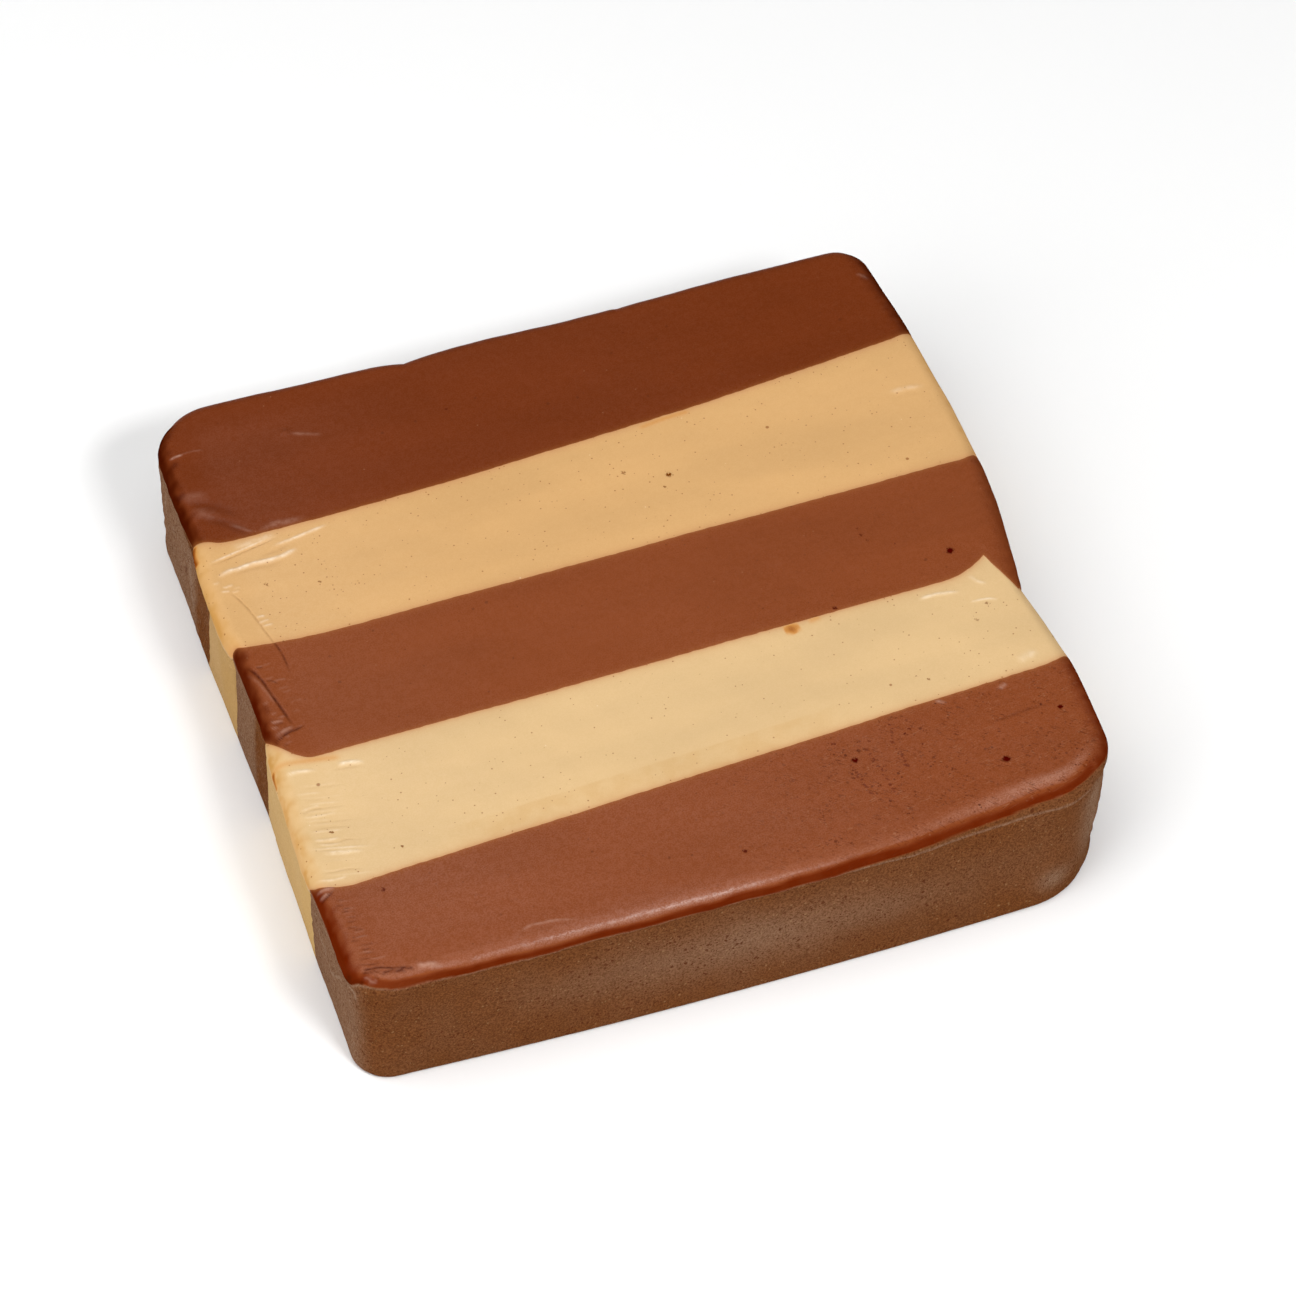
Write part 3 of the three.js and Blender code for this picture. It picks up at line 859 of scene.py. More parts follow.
def wallRelief(place, facts):
    x, y, z = place.T
    height = walls["waves"] * ripple(place, walls["waveLength"], walls["seed"])
    rough = ripple(place, walls["roughLength"], walls["seed"] + 1, walls["roughWaves"])
    height += walls["roughness"] * rough
    onFront = smooth(-y, *walls["frontOver"])
    for stroke in walls["scratches"]:
        height += onFront * stroke["height"] * strokeMask(x, z, stroke["route"], stroke["width"])
    corner = walls["cornerLines"]
    for n in range(corner["count"]):
        gap = facts["drop"] - shoulderArc - corner["from"] - n * corner["gap"]
        around = onFront * (1 - smooth(x, *corner["run"]))
        height += corner["height"] * around * np.exp(-((gap / corner["width"]) ** 2))
    crumbly = smooth(y, *walls["crumblyFrom"]) * (1 - smooth(facts["toLeft"], *walls["crumblyDepth"]))
    rough = ripple(place, walls["endBumpLength"], walls["seed"] + 2, walls["endBumpWaves"])
    return height + crumbly * walls["endBumps"] * rough


def reliefOf(place, facts):
    onTop = 1 - smooth(facts["drop"] - shoulderArc, *walls["meetsTop"])
    onWall = (1 - onTop) * smooth(place[:, 2], *walls["footFade"])
    relief = onTop * topRelief(place) + onWall * wallRelief(place, facts)
    return relief + frontRelief(place, facts)


# Masks that the materials read, one value for each point of the skin

marks = {
    "smears": [  # cocoa and caramel smears on the pale layers
        smear(0.36, 1.0, (-47.9, 25.2), (-48.4, 23.4), (-48.4, 21.4)),
        smear(0.2, 0.9, (-48.4, -12.2), (-48.7, -13.8), (-48.8, -15.0)),
        smear(0.55, 0.32, (-49.0, -12.3), (-46.5, -12.6), (-43.0, -13.2), (-39.8, -13.8)),
        smear(0.4, 0.17, (-48.6, -14.6), (-48.7, -18.3), (-48.8, -21.6), (-49.0, -25.5),
              (-49.0, -30.8)),
        smear(0.45, 0.12, (-48.5, 15.0), (-48.4, 11.9), (-48.5, 9.9), (-48.6, 6.4)),
        smear(0.75, 0.5, (15.8, -11.8), (17.0, -11.8), (18.2, -11.5)),
        smear(0.5, 0.35, (16.8, -11.0), (17.0, -12.0), (17.3, -12.8)),
        smear(0.55, 0.32, (19.2, -11.3), (20.0, -11.3), (20.9, -11.0)),
        smear(0.4, 0.35, (9.4, 25.4), (13.6, 26.1), (17.4, 26.4)),
    ],
    "bloomAndSheenSpots": [  # X, Z, radius, how much longer along X, and strength on the front wall
        (0, 9.2, 4.2, 5.3, 0.37),
        # a painted highlight down the right corner
        (44.0, 8.6, 5.0, 0.42, 0.6),
        (38.0, 4.2, 1.6, 1.3, 0.5),
        (44.5, 14.0, 2.2, 1.0, 0.45),
    ],
    "endCracksAndShadow": [  # Y and Z on the left end: a crack, and a painted shadow along the lap's border
        smear(0.34, 0.9, (29.1, 10.8), (29.8, 8.4), (29.1, 7.6), (28.3, 7.0)),
        # a painted shadow along the lap's border
        smear(0.34, 0.7, (28.6, 17.3), (28.1, 15.7), (27.5, 14.4)),
    ],
    # pale slivers and scratches, partly painted glints
    "endSlivers": [
        smear(0.5, 0.55, (27.6, 15.2), (27.5, 12.0), (27.1, 9.0), (26.8, 6.2), (25.6, 3.4)),
        smear(0.3, 0.6, (38.0, 14.4), (38.9, 11.2), (38.4, 9.8)),
        smear(0.3, 0.4, (35.0, 11.6), (35.4, 9.6), (35.2, 7.4)),
        smear(0.3, 0.5, (-31.2, 11.8), (-33.3, 11.2), (-35.6, 10.0)),
        smear(0.2, 0.5, (-34.4, 7.4), (-37.1, 9.4), (-39.1, 11.3), (-42.4, 14.9)),
        smear(0.2, 0.5, (-43.2, 15.8), (-44.8, 15.6), (-45.0, 13.6)),
    ],
    "bareWedge": (4.5, 6.5),  # the back layer's end is smooth this near to the lap
    "greyTo": (43.5, 46.5),  # the left end is greyer up to the front corner
    "edgeAtBack": (1.3, 2.8),  # the back shoulder takes its deep colour and painted shade between these places along it
    "teeth": {"height": 0.2, "length": 1.3, "waves": 14, "seed": 61},  # of the deep colour and painted shade at the ends
    "bandWave": {"height": 0.1, "length": 5, "waves": 10, "seed": 62},  # and along the front
    "bandSoft": (0.5, 1.5),  # it comes in over these lengths at the left and right of the front
    "bandDeep": 0.92,
    "bandLeft": {"share": 0.75, "to": (-44, -36)},  # it is paler at the left
    "bandCut": (-0.2, 0.25),  # haze and gloss end here, around the band's border
    "wallSoft": (-0.1, 0.12),  # around the film's border
    "leftEnd": (0.5, 3),
    "facing": (-1.5, 1.5),
    "glossAtEnds": (0.3, 1.2),  # the ends lose their gloss between these
    "glossRise": (-2.5, 0.5),  # the front takes its own gloss between these
    "golden": {"width": 3.7, "soft": 0.3, "from": (-34, -26), "to": (10, 22), "before": -20,
               "strength": 0.25},  # by light_front's front seam
    "haloReach": 9,
    "smearFade": 0.15,
    "ridgeLower": 0.15,  # at the left end
    "ridgeHighlight": (0.6, 0.45),  # at the left end and at the front
    "scuffLeft": {"share": 0.2, "to": (-8, 20)},
    # painted sheen over the top, and a painted highlight along the front shoulder
    "hazeOver": (5, 35),
    "hazeLeft": {"share": 0.03, "over": (-46, -12), "edge": (-5, -1)},
    "hazeFront": {"share": 0.045, "rise": (-3.0, 1.0)},
    "highlightLine": {  # a painted highlight line over the deep band
        "share": 0.2, "over": (0.4, 0.9), "width": (0.34, 0.75), "wider": (15, 32),
    },
    "highlightAlong": [
        (-49, 0.1), (-40, 0.35), (-30, 0.3), (-22, 0.8), (-12, 1), (-4, 1), (2, 0.5), (8, 0.2),
        (20, 0.25), (28, 0.6), (35, 1.2), (41, 1.4), (45, 0.7),
    ],
    "glossAlong": [
        (-49, 0.3), (-36, 0.5), (-24, 0.9), (-14, 1.1), (-4, 1.1), (4, 0.45), (12, 0.35), (22, 0.35),
        (46, 0.4),
    ],
}


def markRipple(place, wave):
    return wave["height"] * ripple(place, wave["length"], wave["seed"], wave["waves"])


# painted shade where the shoulder turns away and catches no sheen, over the paste's own deeper colour
def shoulderColourAndShadeOf(place, facts, facing, bandAt, looks):  # the shoulder's deep colour, partly painted shade
    x, y = place[:, 0], place[:, 1]
    drop = facts["drop"] + markRipple(place, marks["teeth"])
    left = smooth(drop, *looks["leftEdge"])
    right = looks["rightDeep"] * smooth(drop, *looks["rightEdge"])
    ends = np.where(facts["toLeft"] < facts["toRight"], left, right)
    slow = facts["drop"] + markRipple(place, marks["bandWave"])
    soft = lerp(*marks["bandSoft"], smooth(x, *frontEdge["bandOver"]))
    paler = marks["bandLeft"]
    deep = marks["bandDeep"] * lerp(paler["share"], 1, smooth(x, *paler["to"]))
    front = deep * smooth(slow, bandAt, bandAt + soft)
    sides = np.where(y < 0, front, smooth(drop, *marks["edgeAtBack"]))
    return lerp(ends, sides, facing)


def paintedSheenOf(place, facts, frontShare, bandAt, looks):  # painted sheen: a pale haze over the top, and a painted highlight line along the front shoulder
    left, front, line = marks["hazeLeft"], marks["hazeFront"], marks["highlightLine"]
    x, drop = place[:, 0], facts["drop"]
    inLeft = left["share"] * (1 - smooth(x, *left["over"])) * (1 - smooth(drop, *left["edge"]))
    onShoulder = front["share"] * smooth(drop, *front["rise"]) ** 2
    wider = smooth(x, *line["wider"])
    gap = drop - bandAt + lerp(*line["over"], wider)
    highlightShare = np.exp(-((gap / lerp(*line["width"], wider)) ** 2))
    highlightShare = line["share"] * highlightShare * tableAt(marks["highlightAlong"], x)
    overall = looks["haze"] * (1 - smooth(x, *marks["hazeOver"]))
    return overall + inLeft + frontShare * (onShoulder + highlightShare)


def bloomAndSheenOf(place, facts, frontShare, leftEnd, greyEnd, looks):  # the dry, greyish look of the walls, partly painted sheen
    x, y, z = place.T
    bloomAndSheen = looks["leftBloomAndSheen"] * greyEnd * smooth(facts["toFrontSeam"], *marks["bareWedge"])
    for spotX, spotZ, radius, long, strength in marks["bloomAndSheenSpots"]:
        bloomAndSheen += frontShare * strength * spotMask(x, z, (spotX, spotZ), radius, long)
    bloomAndSheen += leftEnd * strokeSum(y, z, marks["endSlivers"])
    # a painted highlight along the lip's ridge
    lip = lerp(shoulderArc, lipAt(x), frontShare) + marks["ridgeLower"] * leftEnd
    ridge = np.exp(-(((facts["drop"] - lip) / frontEdge["ridgeWidth"]) ** 2))
    atEnd, atFront = marks["ridgeHighlight"]
    return bloomAndSheen + lerp(atEnd * leftEnd, atFront, frontShare) * ridge


def goldenOf(x, y, facts):  # a warmer strip along a seam
    golden = marks["golden"]
    along = smooth(x, *golden["from"]) * (1 - smooth(x, *golden["to"])) * (y < golden["before"])
    edge = golden["width"] - golden["soft"]
    return golden["strength"] * along * (1 - smooth(facts["toFrontSeam"], edge, golden["width"]))


def masksOf(place, facts, looks):
    x, y, z = place.T
    drop = facts["drop"]
    frontShare = smooth(-y, *frontEdge["over"])
    leftEnd = 1 - smooth(facts["toLeft"], *marks["leftEnd"])
    greyEnd = leftEnd * (1 - smooth(-y, *marks["greyTo"]))
    toEnd = np.minimum(facts["toLeft"], facts["toRight"])
    facing = smooth(toEnd - facts["toWall"], *marks["facing"])  # 1 on the front and back, 0 at the ends
    dip = smooth(-y, *frontEdge["leftDipFrom"]) * (1 - smooth(-y, *frontEdge["leftDipTo"])) * leftEnd
    border = lerp(shoulderArc, frontBorder(x), frontShare) + frontEdge["leftDip"] * dip
    wall = smooth(drop - border, *marks["wallSoft"])
    top = 1 - wall

    bandAt = border - tableAt(frontEdge["band"], x)
    bandCut = smooth(drop - bandAt, *marks["bandCut"]) * frontShare
    edge = shoulderColourAndShadeOf(place, facts, facing, bandAt, looks) * top
    edge = np.maximum(edge, goldenOf(x, y, facts))
    atFront = frontShare * smooth(drop, *marks["glossRise"])
    gloss = lerp(1, tableAt(marks["glossAlong"], x), atFront)
    gloss = gloss * (1 - lerp(smooth(drop, *marks["glossAtEnds"]), bandCut, facing))
    haze = paintedSheenOf(place, facts, frontShare, bandAt, looks) * top * (1 - edge) * (1 - bandCut)
    crease = paintedShare(x, y, "crease") * top + leftEnd * wall * strokeSum(y, z, marks["endCracksAndShadow"])
    lessLeft = marks["scuffLeft"]
    scuff = looks["scuff"] * lerp(lessLeft["share"], 1, smooth(x, *lessLeft["to"])) * (1 - edge)
    seamGap = np.clip(np.minimum(facts["toBackSeam"], facts["toFrontSeam"]), 0, marks["haloReach"])
    return {
        "wallShare": wall,
        "edgeShare": edge,
        "glossShare": gloss,
        "haloShare": np.exp(-seamGap / looks["haloWidth"]),
        "stainShare": np.clip(strokeSum(x, y, marks["smears"], marks["smearFade"]), 0, 1) * top,
        "bloomAndSheenShare": np.clip(bloomAndSheenOf(place, facts, frontShare, leftEnd, greyEnd, looks), 0, 1),
        "creaseShare": np.clip(crease, 0, 1),
        "sheenShare": np.clip(paintedShare(x, y, "sheen") * top, 0, 1),
        "hazeShare": haze,
        "scuffShare": lerp(scuff, looks["wallScuff"] * greyEnd, wall),
    }


# Meshes: each layer is one closed skin, fine where it shows and plain on the seams inside and the foot

def gridFaces(ids):
    return np.stack([ids[:-1, :-1], ids[1:, :-1], ids[1:, 1:], ids[:-1, 1:]], -1).reshape(-1, 4)


def thinPatch(ids, keep):  # keeps only some rows, and fills up to the full rows at both ends
    quads = gridFaces(ids[1:-1][:, keep])
    triangles = []
    for low, high in zip(keep[:-1], keep[1:]):
        middle = (low + high) // 2
        for n in range(low, high):
            inner = low if n < middle else high
            triangles.append((ids[0, n], ids[1, inner], ids[0, n + 1]))
            triangles.append((ids[-2, inner], ids[-1, n], ids[-1, n + 1]))
        triangles.append((ids[0, middle], ids[1, low], ids[1, high]))
        triangles.append((ids[-2, low], ids[-1, middle], ids[-2, high]))
    return quads, np.array(triangles)


def spread(count, kept):
    return sorted(set(np.linspace(0, count - 1, kept).round().astype(int).tolist()))


def vertexNormals(points, quads):
    p, q, r, s = (points[quads[:, n]] for n in range(4))
    faceNormals = np.cross(r - p, s - q)
    normals = np.zeros(points.shape)
    for n in range(4):
        for axis in range(3):
            normals[:, axis] += np.bincount(quads[:, n], faceNormals[:, axis], len(points))
    return normals / np.maximum(np.linalg.norm(normals, axis=1, keepdims=True), 1e-12)


def layerSkin(number):
    first, last = number == 0, number == lastLayer
    along, across = linesAlong(), linesAcross(number)
    levels = wallLevels(skin["frontWallStep"] if last else skin["wallStep"])
    counts = (len(along["side"]), len(across["side"]), len(levels))
    keptLevels = spread(counts[2], skin["thinLevels"])
    keptAcross = spread(counts[1], skin["thinAcross"])

    used = np.zeros(counts, bool)
    used[:, :, -1] = used[0] = used[-1] = True
    used[:, 0, slice(None) if first else keptLevels] = True
    used[:, -1, slice(None) if last else keptLevels] = True
    used[:, keptAcross, 0] = True
    ids = np.full(counts, -1)
    ids[used] = np.arange(used.sum())
    i, k, j = np.nonzero(used)
    lineAlong = {key: values[i] for key, values in along.items()}
    lineAcross = {key: values[k] for key, values in across.items()}
    points, facts = pointsOf(number, lineAlong, lineAcross, levels[j])

    shown = [gridFaces(ids[:, :, -1].T), gridFaces(ids[0]), gridFaces(ids[-1].T)]  # top and both ends
    if first:
        shown.append(gridFaces(ids[:, 0, :].T))
    if last:
        shown.append(gridFaces(ids[:, -1, :]))
    shown = np.concatenate(shown)
    footQuads, footTriangles = thinPatch(ids[:, :, 0], keptAcross)
    quads, triangles = [shown, footQuads], [footTriangles]
    if not first:
        seamQuads, seamTriangles = thinPatch(ids[:, 0, :], keptLevels)
        quads.append(seamQuads[:, ::-1])
        triangles.append(seamTriangles[:, ::-1])
    if not last:
        seamQuads, seamTriangles = thinPatch(ids[:, -1, :], keptLevels)
        quads.append(seamQuads)
        triangles.append(seamTriangles)

    normals = vertexNormals(points, shown)  # zero on the points inside, which stay where they are
    masks = masksOf(points, facts, layers[number]["looks"])
    points = points + normals * reliefOf(points, facts)[:, None]
    points[:, 2] = np.clip(points[:, 2], 0, None)
    return points, np.concatenate(quads), np.concatenate(triangles), masks


def meshFrom(name, points, quads, triangles, masks):
    mesh = bpy.data.meshes.new(name)
    mesh.vertices.add(len(points))
    mesh.vertices.foreach_set("co", (points * mm).astype(np.float32).ravel())
    corners = np.concatenate([quads.ravel(), triangles.ravel()]).astype(np.int32)
    mesh.loops.add(len(corners))
    mesh.loops.foreach_set("vertex_index", corners)
    sizes = np.repeat([4, 3], [len(quads), len(triangles)])
    starts = np.concatenate([[0], np.cumsum(sizes)[:-1]]).astype(np.int32)
    mesh.polygons.add(len(sizes))
    mesh.polygons.foreach_set("loop_start", starts)
    mesh.polygons.foreach_set("use_smooth", np.ones(len(sizes), bool))
    mesh.update(calc_edges=True)
    for mask, values in masks.items():
        data = mesh.attributes.new(mask, "FLOAT", "POINT").data
        data.foreach_set("value", values.astype(np.float32))
    mesh.set_sharp_from_angle(angle=math.radians(skin["sharpAngle"]))
    return mesh


# Shader groups

def addNode(tree, kind, inputs=None, **settings):
    node = tree.nodes.new("ShaderNode" + kind)
    for name, value in settings.items():
        setattr(node, name, value)
    for name, value in (inputs or {}).items():
        if isinstance(value, bpy.types.NodeSocket):
            tree.links.new(value, node.inputs[name])
        else:
            node.inputs[name].default_value = value
    return node


def mathNode(tree, operation, first, second=0.0, third=0.0):
    return addNode(tree, "Math", {0: first, 1: second, 2: third}, operation=operation).outputs[0]


def times(tree, first, second):
    return mathNode(tree, "MULTIPLY", first, second)


def highest(tree, first, second):
    return mathNode(tree, "MAXIMUM", first, second)


def vectorNode(tree, operation, inputs, output="Vector"):
    return addNode(tree, "VectorMath", inputs, operation=operation).outputs[output]


def noiseNode(tree, place, scale, detail, roughness=0.5):
    inputs = {"Vector": place, "Scale": scale, "Detail": detail, "Roughness": roughness}
    return addNode(tree, "TexNoise", inputs).outputs[0]


def rangeNode(tree, value, low, high, toLow=0.0, toHigh=1.0):
    inputs = {"Value": value, "From Min": low, "From Max": high, "To Min": toLow, "To Max": toHigh}
    return addNode(tree, "MapRange", inputs, interpolation_type="SMOOTHSTEP").outputs["Result"]


def spanNode(tree, share, limits):  # the first limit where the share is 0, the second where it is 1
    return rangeNode(tree, share, 0, 1, *limits)


def mixColour(tree, share, first, second, blend="MIX"):
    inputs = {0: share}
    for socket, value in ((6, first), (7, second)):  # the node's colour sockets
        inputs[socket] = value if isinstance(value, bpy.types.NodeSocket) else (*value, 1.0)
    return addNode(tree, "Mix", inputs, data_type="RGBA", blend_type=blend).outputs[2]


def paintOver(tree, colour, coats):  # coats of a share and a colour, in order
    for share, paint in coats:
        colour = mixColour(tree, share, colour, paint)
    return colour


def newGroup(name, inputs, outputs):
    tree = bpy.data.node_groups.new(name, "ShaderNodeTree")
    for socketName, default in inputs.items():
        kind = "NodeSocketVector" if default is None else "NodeSocketFloat"
        socket = tree.interface.new_socket(socketName, in_out="INPUT", socket_type=kind)
        if default is not None:
            socket.default_value = default
    for socketName in outputs:
        tree.interface.new_socket(socketName, in_out="OUTPUT", socket_type="NodeSocketFloat")
    return tree, tree.nodes.new("NodeGroupInput"), tree.nodes.new("NodeGroupOutput")


def useGroup(tree, group, place, **inputs):
    node = addNode(tree, "Group", node_tree=bpy.data.node_groups[group])
    tree.links.new(place, node.inputs["Place"])
    for name, value in inputs.items():
        node.inputs[name].default_value = value
    return node.outputs


speckForm = {"least": 0.35, "core": 0.55}  # smallest speck and its full middle, as shares of the size


def speckGroup():  # scattered grains: a share of the cells holds one
    sockets = {"Place": None, "Cell": 1.0, "Share": 0.2, "Size": 0.2}
    tree, given, result = newGroup("nutSpecks", sockets, ["Mask"])
    cell = given.outputs["Cell"]
    scaled = addNode(tree, "VectorMath", {0: given.outputs["Place"]}, operation="DIVIDE")
    tree.links.new(cell, scaled.inputs[1])
    cells = addNode(tree, "TexVoronoi", {"Vector": scaled.outputs[0], "Scale": 1.0})
    parts = addNode(tree, "SeparateColor", {0: cells.outputs["Color"]}).outputs
    there = mathNode(tree, "LESS_THAN", parts[0], given.outputs["Share"])
    size = mathNode(tree, "DIVIDE", given.outputs["Size"], cell)
    size = times(tree, size, spanNode(tree, parts[1], (speckForm["least"], 1.0)))
    soft = rangeNode(tree, cells.outputs["Distance"], size, times(tree, size, speckForm["core"]))
    tree.links.new(times(tree, there, soft), result.inputs["Mask"])


mottle = {"detail": 2.0, "over": (0.3, 0.7)}


def mottleGroup():  # slow change of tone over the paste
    tree, given, result = newGroup("pasteMottle", {"Place": None, "Length": 12.0}, ["Value"])
    scale = mathNode(tree, "DIVIDE", 1.0, given.outputs["Length"])
    noise = noiseNode(tree, given.outputs["Place"], scale, mottle["detail"])
    tree.links.new(rangeNode(tree, noise, *mottle["over"]), result.inputs["Value"])


pores = {
    "warp": (0.5, -0.35, 0.45),  # mm
    "warpNoise": (1.6, 1.0),  # scale and detail
    "fineCell": 0.32,
    "fineShare": 0.5,
    "fineSize": 0.16,
    "wideCell": 0.9,
    "wideShare": 0.6,
    "wideSize": 0.28,
    "gritCell": 0.45,
    "gritShare": 0.22,
    "gritSize": 0.18,
    "grainNoise": (4.2, 3.0, 0.7),  # scale, detail and roughness
    "toneOver": (0.25, 0.75),
    "clusterNoise": (0.3, 2.0),
    "clusterOver": (0.38, 0.58),
    "clusterLeast": 0.35,
}


def poreGroup():  # the open, matt surface that the mould leaves
    tree, given, result = newGroup("mouldPores", {"Place": None}, ["Mask", "Grit", "Height", "Tone"])
    place = given.outputs["Place"]
    warp = noiseNode(tree, place, *pores["warpNoise"])
    bent = vectorNode(tree, "MULTIPLY_ADD", {0: warp, 1: pores["warp"], 2: place})
    kinds = {}
    for kind in ("fine", "wide", "grit"):
        sizes = {name: pores[kind + name] for name in ("Cell", "Share", "Size")}
        kinds[kind] = useGroup(tree, "nutSpecks", bent, **sizes)["Mask"]
    grain = noiseNode(tree, place, *pores["grainNoise"])
    clusters = noiseNode(tree, place, *pores["clusterNoise"])
    gathered = rangeNode(tree, clusters, *pores["clusterOver"], pores["clusterLeast"])
    openings = times(tree, highest(tree, kinds["fine"], kinds["wide"]), gathered)
    tree.links.new(openings, result.inputs["Mask"])
    tree.links.new(kinds["grit"], result.inputs["Grit"])
    tree.links.new(rangeNode(tree, grain, *pores["toneOver"]), result.inputs["Tone"])
    tree.links.new(grain, result.inputs["Height"])


satin = {
    "fineNoise": (5.5, 2.0, 0.6),  # scale, detail and roughness
    "wideNoise": (1.1, 3.0),
    "fineShare": 0.7,
    "wideShare": 0.3,
    "wideOver": (0.35, 0.65),
    "toneOver": (0.32, 0.68),
}


def grainGroup():  # faint grain of the smooth top, at two scales
    tree, given, result = newGroup("satinGrain", {"Place": None}, ["Height", "Tone", "Wide"])
    place = given.outputs["Place"]
    fine = noiseNode(tree, place, *satin["fineNoise"])
    wide = noiseNode(tree, place, *satin["wideNoise"])
    slow = times(tree, wide, satin["wideShare"])
    tone = mathNode(tree, "MULTIPLY_ADD", fine, satin["fineShare"], slow)
    tree.links.new(fine, result.inputs["Height"])
    tree.links.new(rangeNode(tree, wide, *satin["wideOver"]), result.inputs["Wide"])
    tree.links.new(rangeNode(tree, tone, *satin["toneOver"]), result.inputs["Tone"])


scratches = {
    "turns": {"Pale": 14, "Dark": -38},  # degrees from X
    "size": (1.6, 0.14, 1.0),  # mm along, across and up
    "detail": 2.0,
    "over": (0.58, 0.7),  # of the noise
}


def scratchGroup():  # thin streaks, pale one way and dark another way
    tree, given, result = newGroup("filmScratches", {"Place": None}, ["Pale", "Dark"])
    for kind, turn in scratches["turns"].items():
        mapped = {"Vector": given.outputs["Place"], "Scale": scratches["size"]}
        mapped["Rotation"] = (0, 0, math.radians(turn))
        turned = addNode(tree, "Mapping", mapped, vector_type="TEXTURE").outputs[0]
        noise = noiseNode(tree, turned, 1.0, scratches["detail"])
        tree.links.new(rangeNode(tree, noise, *scratches["over"]), result.inputs[kind])


holeForm = {  # from none to full, in radii
    "Mask": (1.1, 0.7),
    "Rim": (1.6, 0.9),
    "pit": (1.2, 0.6),
    "warp": (0.9, -0.7, 0),  # mm
    "warpNoise": (3.4, 1.0),  # scale and detail
    "noPit": 9.0,
}


def holeGroup():  # one air hole, in a place that is already warped
    sockets = {"Place": None, "Centre": None, "Radius": 0.3}
    tree, given, result = newGroup("airHole", sockets, ["Mask", "Rim"])
    ends = {0: given.outputs["Place"], 1: given.outputs["Centre"]}
    gap = vectorNode(tree, "DISTANCE", ends, "Value")
    share = mathNode(tree, "DIVIDE", gap, given.outputs["Radius"])
    for name in ("Mask", "Rim"):
        tree.links.new(rangeNode(tree, share, *holeForm[name]), result.inputs[name])


def warpPlace(tree, place):  # makes the holes and pits angular
    off = mathNode(tree, "SUBTRACT", noiseNode(tree, place, *holeForm["warpNoise"]), 0.5)
    return vectorNode(tree, "MULTIPLY_ADD", {0: off, 1: holeForm["warp"], 2: place})


def holeMasks(tree, bent, spots):
    inside, around = 0.0, 0.0
    for x, y, radius, darkness in spots:
        hole = useGroup(tree, "airHole", bent, Centre=(x, y, block["height"]), Radius=radius)
        inside = highest(tree, inside, times(tree, hole["Mask"], darkness))
        around = highest(tree, around, times(tree, hole["Rim"], darkness))
    return inside, around


def pitMask(tree, bent, spots):  # from the nearest pit alone
    nearest = holeForm["noPit"]
    for x, y, radius in spots:
        gap = vectorNode(tree, "DISTANCE", {0: bent, 1: (x, y, block["height"])}, "Value")
        nearest = mathNode(tree, "MINIMUM", nearest, mathNode(tree, "DIVIDE", gap, radius))
    return times(tree, rangeNode(tree, nearest, *holeForm["pit"]), pitRows["darkness"])


# Material of a layer

finish = {
    "topRoughness": 0.5,
    "wallRoughness": 0.85,
    "coatRoughness": 0.36,
    "coatGrain": (0.3, 1.35),  # least and most of the fine change of gloss
    "wallBump": 0.09,  # mm
    "streakShape": (0.3, 1.0, 1.0),  # streaks run along X
    "streakTone": 0.93,
    "cloudLength": 7.0,  # mm
    "blotchLength": 2.4,
    "wallClouds": 0.06,
    "speckCell": 0.75,
    "speckSize": 0.135,
    "coarseCell": 2.1,
    "coarseSize": 0.3,
    "glintCell": 1.3,
    "glintSize": 0.14,
    "glintMost": 0.4,
    "hazeGrain": (0.6, 1.35),
    "scuffPatches": (0.25, 1.0),
    "flakeMost": 0.5,
    "haloMost": 0.8,
    "stainFull": 0.6,
    "smearPower": 2.0,
    "bloomAndSheenGrain": (0.45, 1.5),
    "gritPart": 0.5,
    "holeRim": 0.5,
    "foldBreaks": (0.55, 1.0),  # the folds come and go between these shares
}
maskNames = ("wall", "edge", "gloss", "halo", "stain", "bloomAndSheen", "crease", "sheen", "haze", "scuff")


def attribute(tree, name):
    return addNode(tree, "Attribute", attribute_name=name, attribute_type="GEOMETRY").outputs["Fac"]


def pastePatterns(tree, place, layer):  # what colour, gloss and bumps have in common
    looks = layer["looks"]
    longWays = vectorNode(tree, "MULTIPLY", {0: place, 1: finish["streakShape"]})
    seen = {
        "streaks": useGroup(tree, "pasteMottle", longWays, Length=finish["cloudLength"])["Value"],
        "clouds": useGroup(tree, "pasteMottle", place, Length=finish["cloudLength"])["Value"],
        "blotches": useGroup(tree, "pasteMottle", place, Length=finish["blotchLength"])["Value"],
        "pores": useGroup(tree, "mouldPores", place),
        "grain": useGroup(tree, "satinGrain", place),
        "scratch": useGroup(tree, "filmScratches", place),
    }
    for kind in ("speck", "coarse", "glint"):
        sizes = {"Cell": finish[kind + "Cell"], "Size": finish[kind + "Size"]}
        grains = useGroup(tree, "nutSpecks", place, Share=looks[kind + "Share"], **sizes)
        seen[kind] = grains["Mask"]
    bent = warpPlace(tree, place)
    seen["hole"], seen["holeRim"] = holeMasks(tree, bent, holes[layer["name"]])
    seen["pit"] = pitMask(tree, bent, pits.get(layer["name"], []))
    seen["breaks"] = spanNode(tree, seen["grain"]["Wide"], finish["foldBreaks"])
    return seen


